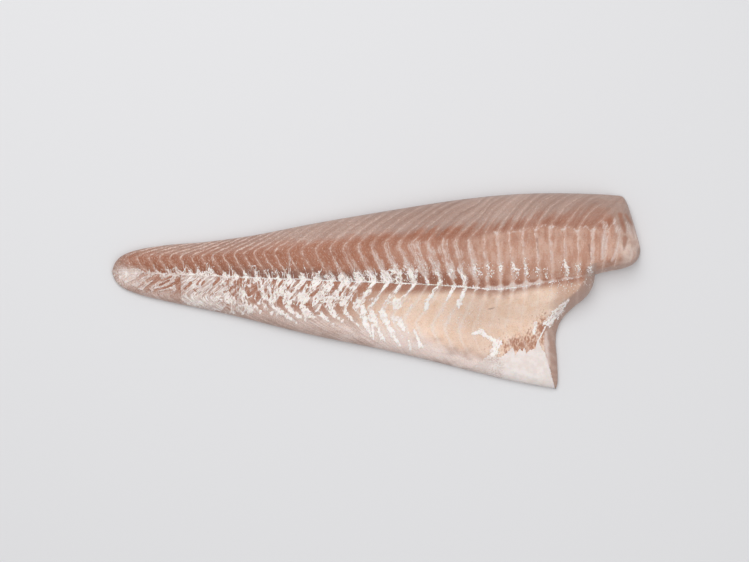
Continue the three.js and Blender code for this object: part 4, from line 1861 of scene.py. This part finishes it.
    @staticmethod
    def _hairs(board: NodeBoard, mote: Socket, fine: Socket) -> Socket:
        """The hairs beside the midline: the fringe's level less noise drawn out across it.

        Args:
            board: The material's nodes.
            mote: Fine even noise.
            fine: Still finer noise.

        Returns:
            How surely a hair covers each place.
        """
        hair = board.crease(board.noise("object", (310.0, 36.0), 1.5))
        tall = board.sway(Shown.FRINGE, board.noise("object", (330.0, 12.0), 1.0), 1.5)
        tall = board.sway(tall, mote, 0.6)
        fringe = board.less(tall, board.ramp(hair, 0.008, 0.042, 0.0, 1.05))
        worn = board.ramp(board.plus(mote, fine, 0.6), 0.62, 0.8, 0.25, 0.95)
        return board.times(board.ramp(fringe, -0.05, 0.1), worn)


@dataclass(frozen=True)
class FloorFinish:
    """Plain pale matt floor.

    Attributes:
        colour: Its colour.
        roughness: How dull it is.
    """

    colour: Colour = shade(226, 226, 228)
    roughness: float = 0.8

    def material(self) -> bpy.types.Material:
        """Builds the floor's material."""
        board = NodeBoard("studio_floor")
        board.feed(board.shader.inputs["Base Color"], self.colour)
        board.shader.inputs["Roughness"].default_value = self.roughness
        return board.material


# -------- the studio


@dataclass(frozen=True)
class Softbox:
    """A square soft light, in metres and watts.

    Attributes:
        name: Its name.
        place: Where it hangs. It faces the fillet.
        side: How long its sides are.
        power: How strong it is.
    """

    name: str
    place: tuple[float, float, float]
    side: float
    power: float

    def build(self) -> bpy.types.Object:
        """Makes the light."""
        light = bpy.data.lights.new(self.name, "AREA")
        light.size, light.energy = self.side, self.power
        made = placed(self.name, light)
        made.location = self.place
        made.rotation_euler = (-made.location).to_track_quat("-Z", "Y").to_euler()
        return made


@dataclass(frozen=True)
class Camera:
    """The camera straight above the fillet, framed as the photograph is.

    Attributes:
        frame_px: The photograph's width and height.
        box_px: The fillet's left, top, right and bottom in it.
        lens: Focal length in millimetres.
        sensor: Sensor width in millimetres.
    """

    frame_px: tuple[int, int] = (749, 562)
    box_px: tuple[int, int, int, int] = (112, 193, 640, 389)
    lens: float = 200.0
    sensor: float = 36.0

    def build(self) -> bpy.types.Object:
        """Places the camera so that the fillet's box fills its own part of the frame."""
        low, high = CAD_BOX
        left, top, right, bottom = self.box_px
        metres_per_px = (high.x - low.x) / (right - left)
        data = bpy.data.cameras.new("camera")
        data.lens, data.sensor_width = self.lens, self.sensor
        data.clip_start, data.clip_end = 0.1, 30.0
        made = placed("camera", data)
        made.location = (
            (low.x + high.x) / 2 + (self.frame_px[0] - left - right) / 2 * metres_per_px,
            (low.y + high.y) / 2 - (self.frame_px[1] - top - bottom) / 2 * metres_per_px,
            self.frame_px[0] * metres_per_px * self.lens / self.sensor,
        )
        bpy.context.scene.camera = made
        return made


@dataclass(frozen=True)
class Studio:
    """The floor, the lights and the camera.

    Attributes:
        floor_side: How long the floor's sides are, in metres.
        lights: The soft lights.
        ambient: The strength of the even light from all round.
        camera: The camera.
    """

    floor_side: float = 12.0
    lights: tuple[Softbox, ...] = (
        Softbox("key_light", (-0.35, 0.75, 1.5), 1.1, 14.0),
        Softbox("fill_light", (0.7, -0.6, 1.7), 1.4, 7.0),
    )
    ambient: float = 0.48
    camera: Camera = Camera()

    def build(self) -> None:
        """Makes the floor, the lights, the even light and the camera."""
        half = self.floor_side / 2
        corners = [(-half, -half, 0.0), (half, -half, 0.0), (half, half, 0.0), (-half, half, 0.0)]
        mesh = bpy.data.meshes.new("floor")
        mesh.from_pydata(corners, [], [(0, 1, 2, 3)])
        mesh.materials.append(FloorFinish().material())
        floor = placed("floor", mesh)
        for light in self.lights:
            light.build()
        world = bpy.data.worlds.new("studio")
        world.use_nodes = True
        background = world.node_tree.nodes["Background"]
        background.inputs["Color"].default_value = (1.0, 1.0, 1.0, 1.0)
        background.inputs["Strength"].default_value = self.ambient
        bpy.context.scene.world = world
        bpy.context.scene.view_settings.view_transform = "Standard"
        self.camera.build()


def main() -> None:
    """Builds the fillet and the studio around it, and reports each piece."""
    fillet = Fillet().build()
    fillet.data.materials.append(FleshFinish().material())
    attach(fillet, "root")
    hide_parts(NODE)
    mesh = fillet.data
    LOG.info("%s: %d points, %d faces", fillet.name, len(mesh.vertices), len(mesh.polygons))
    Studio().build()
    LOG.info("studio: floor, %d lights and camera", len(Studio().lights))


if __name__ == "__main__":
    main()
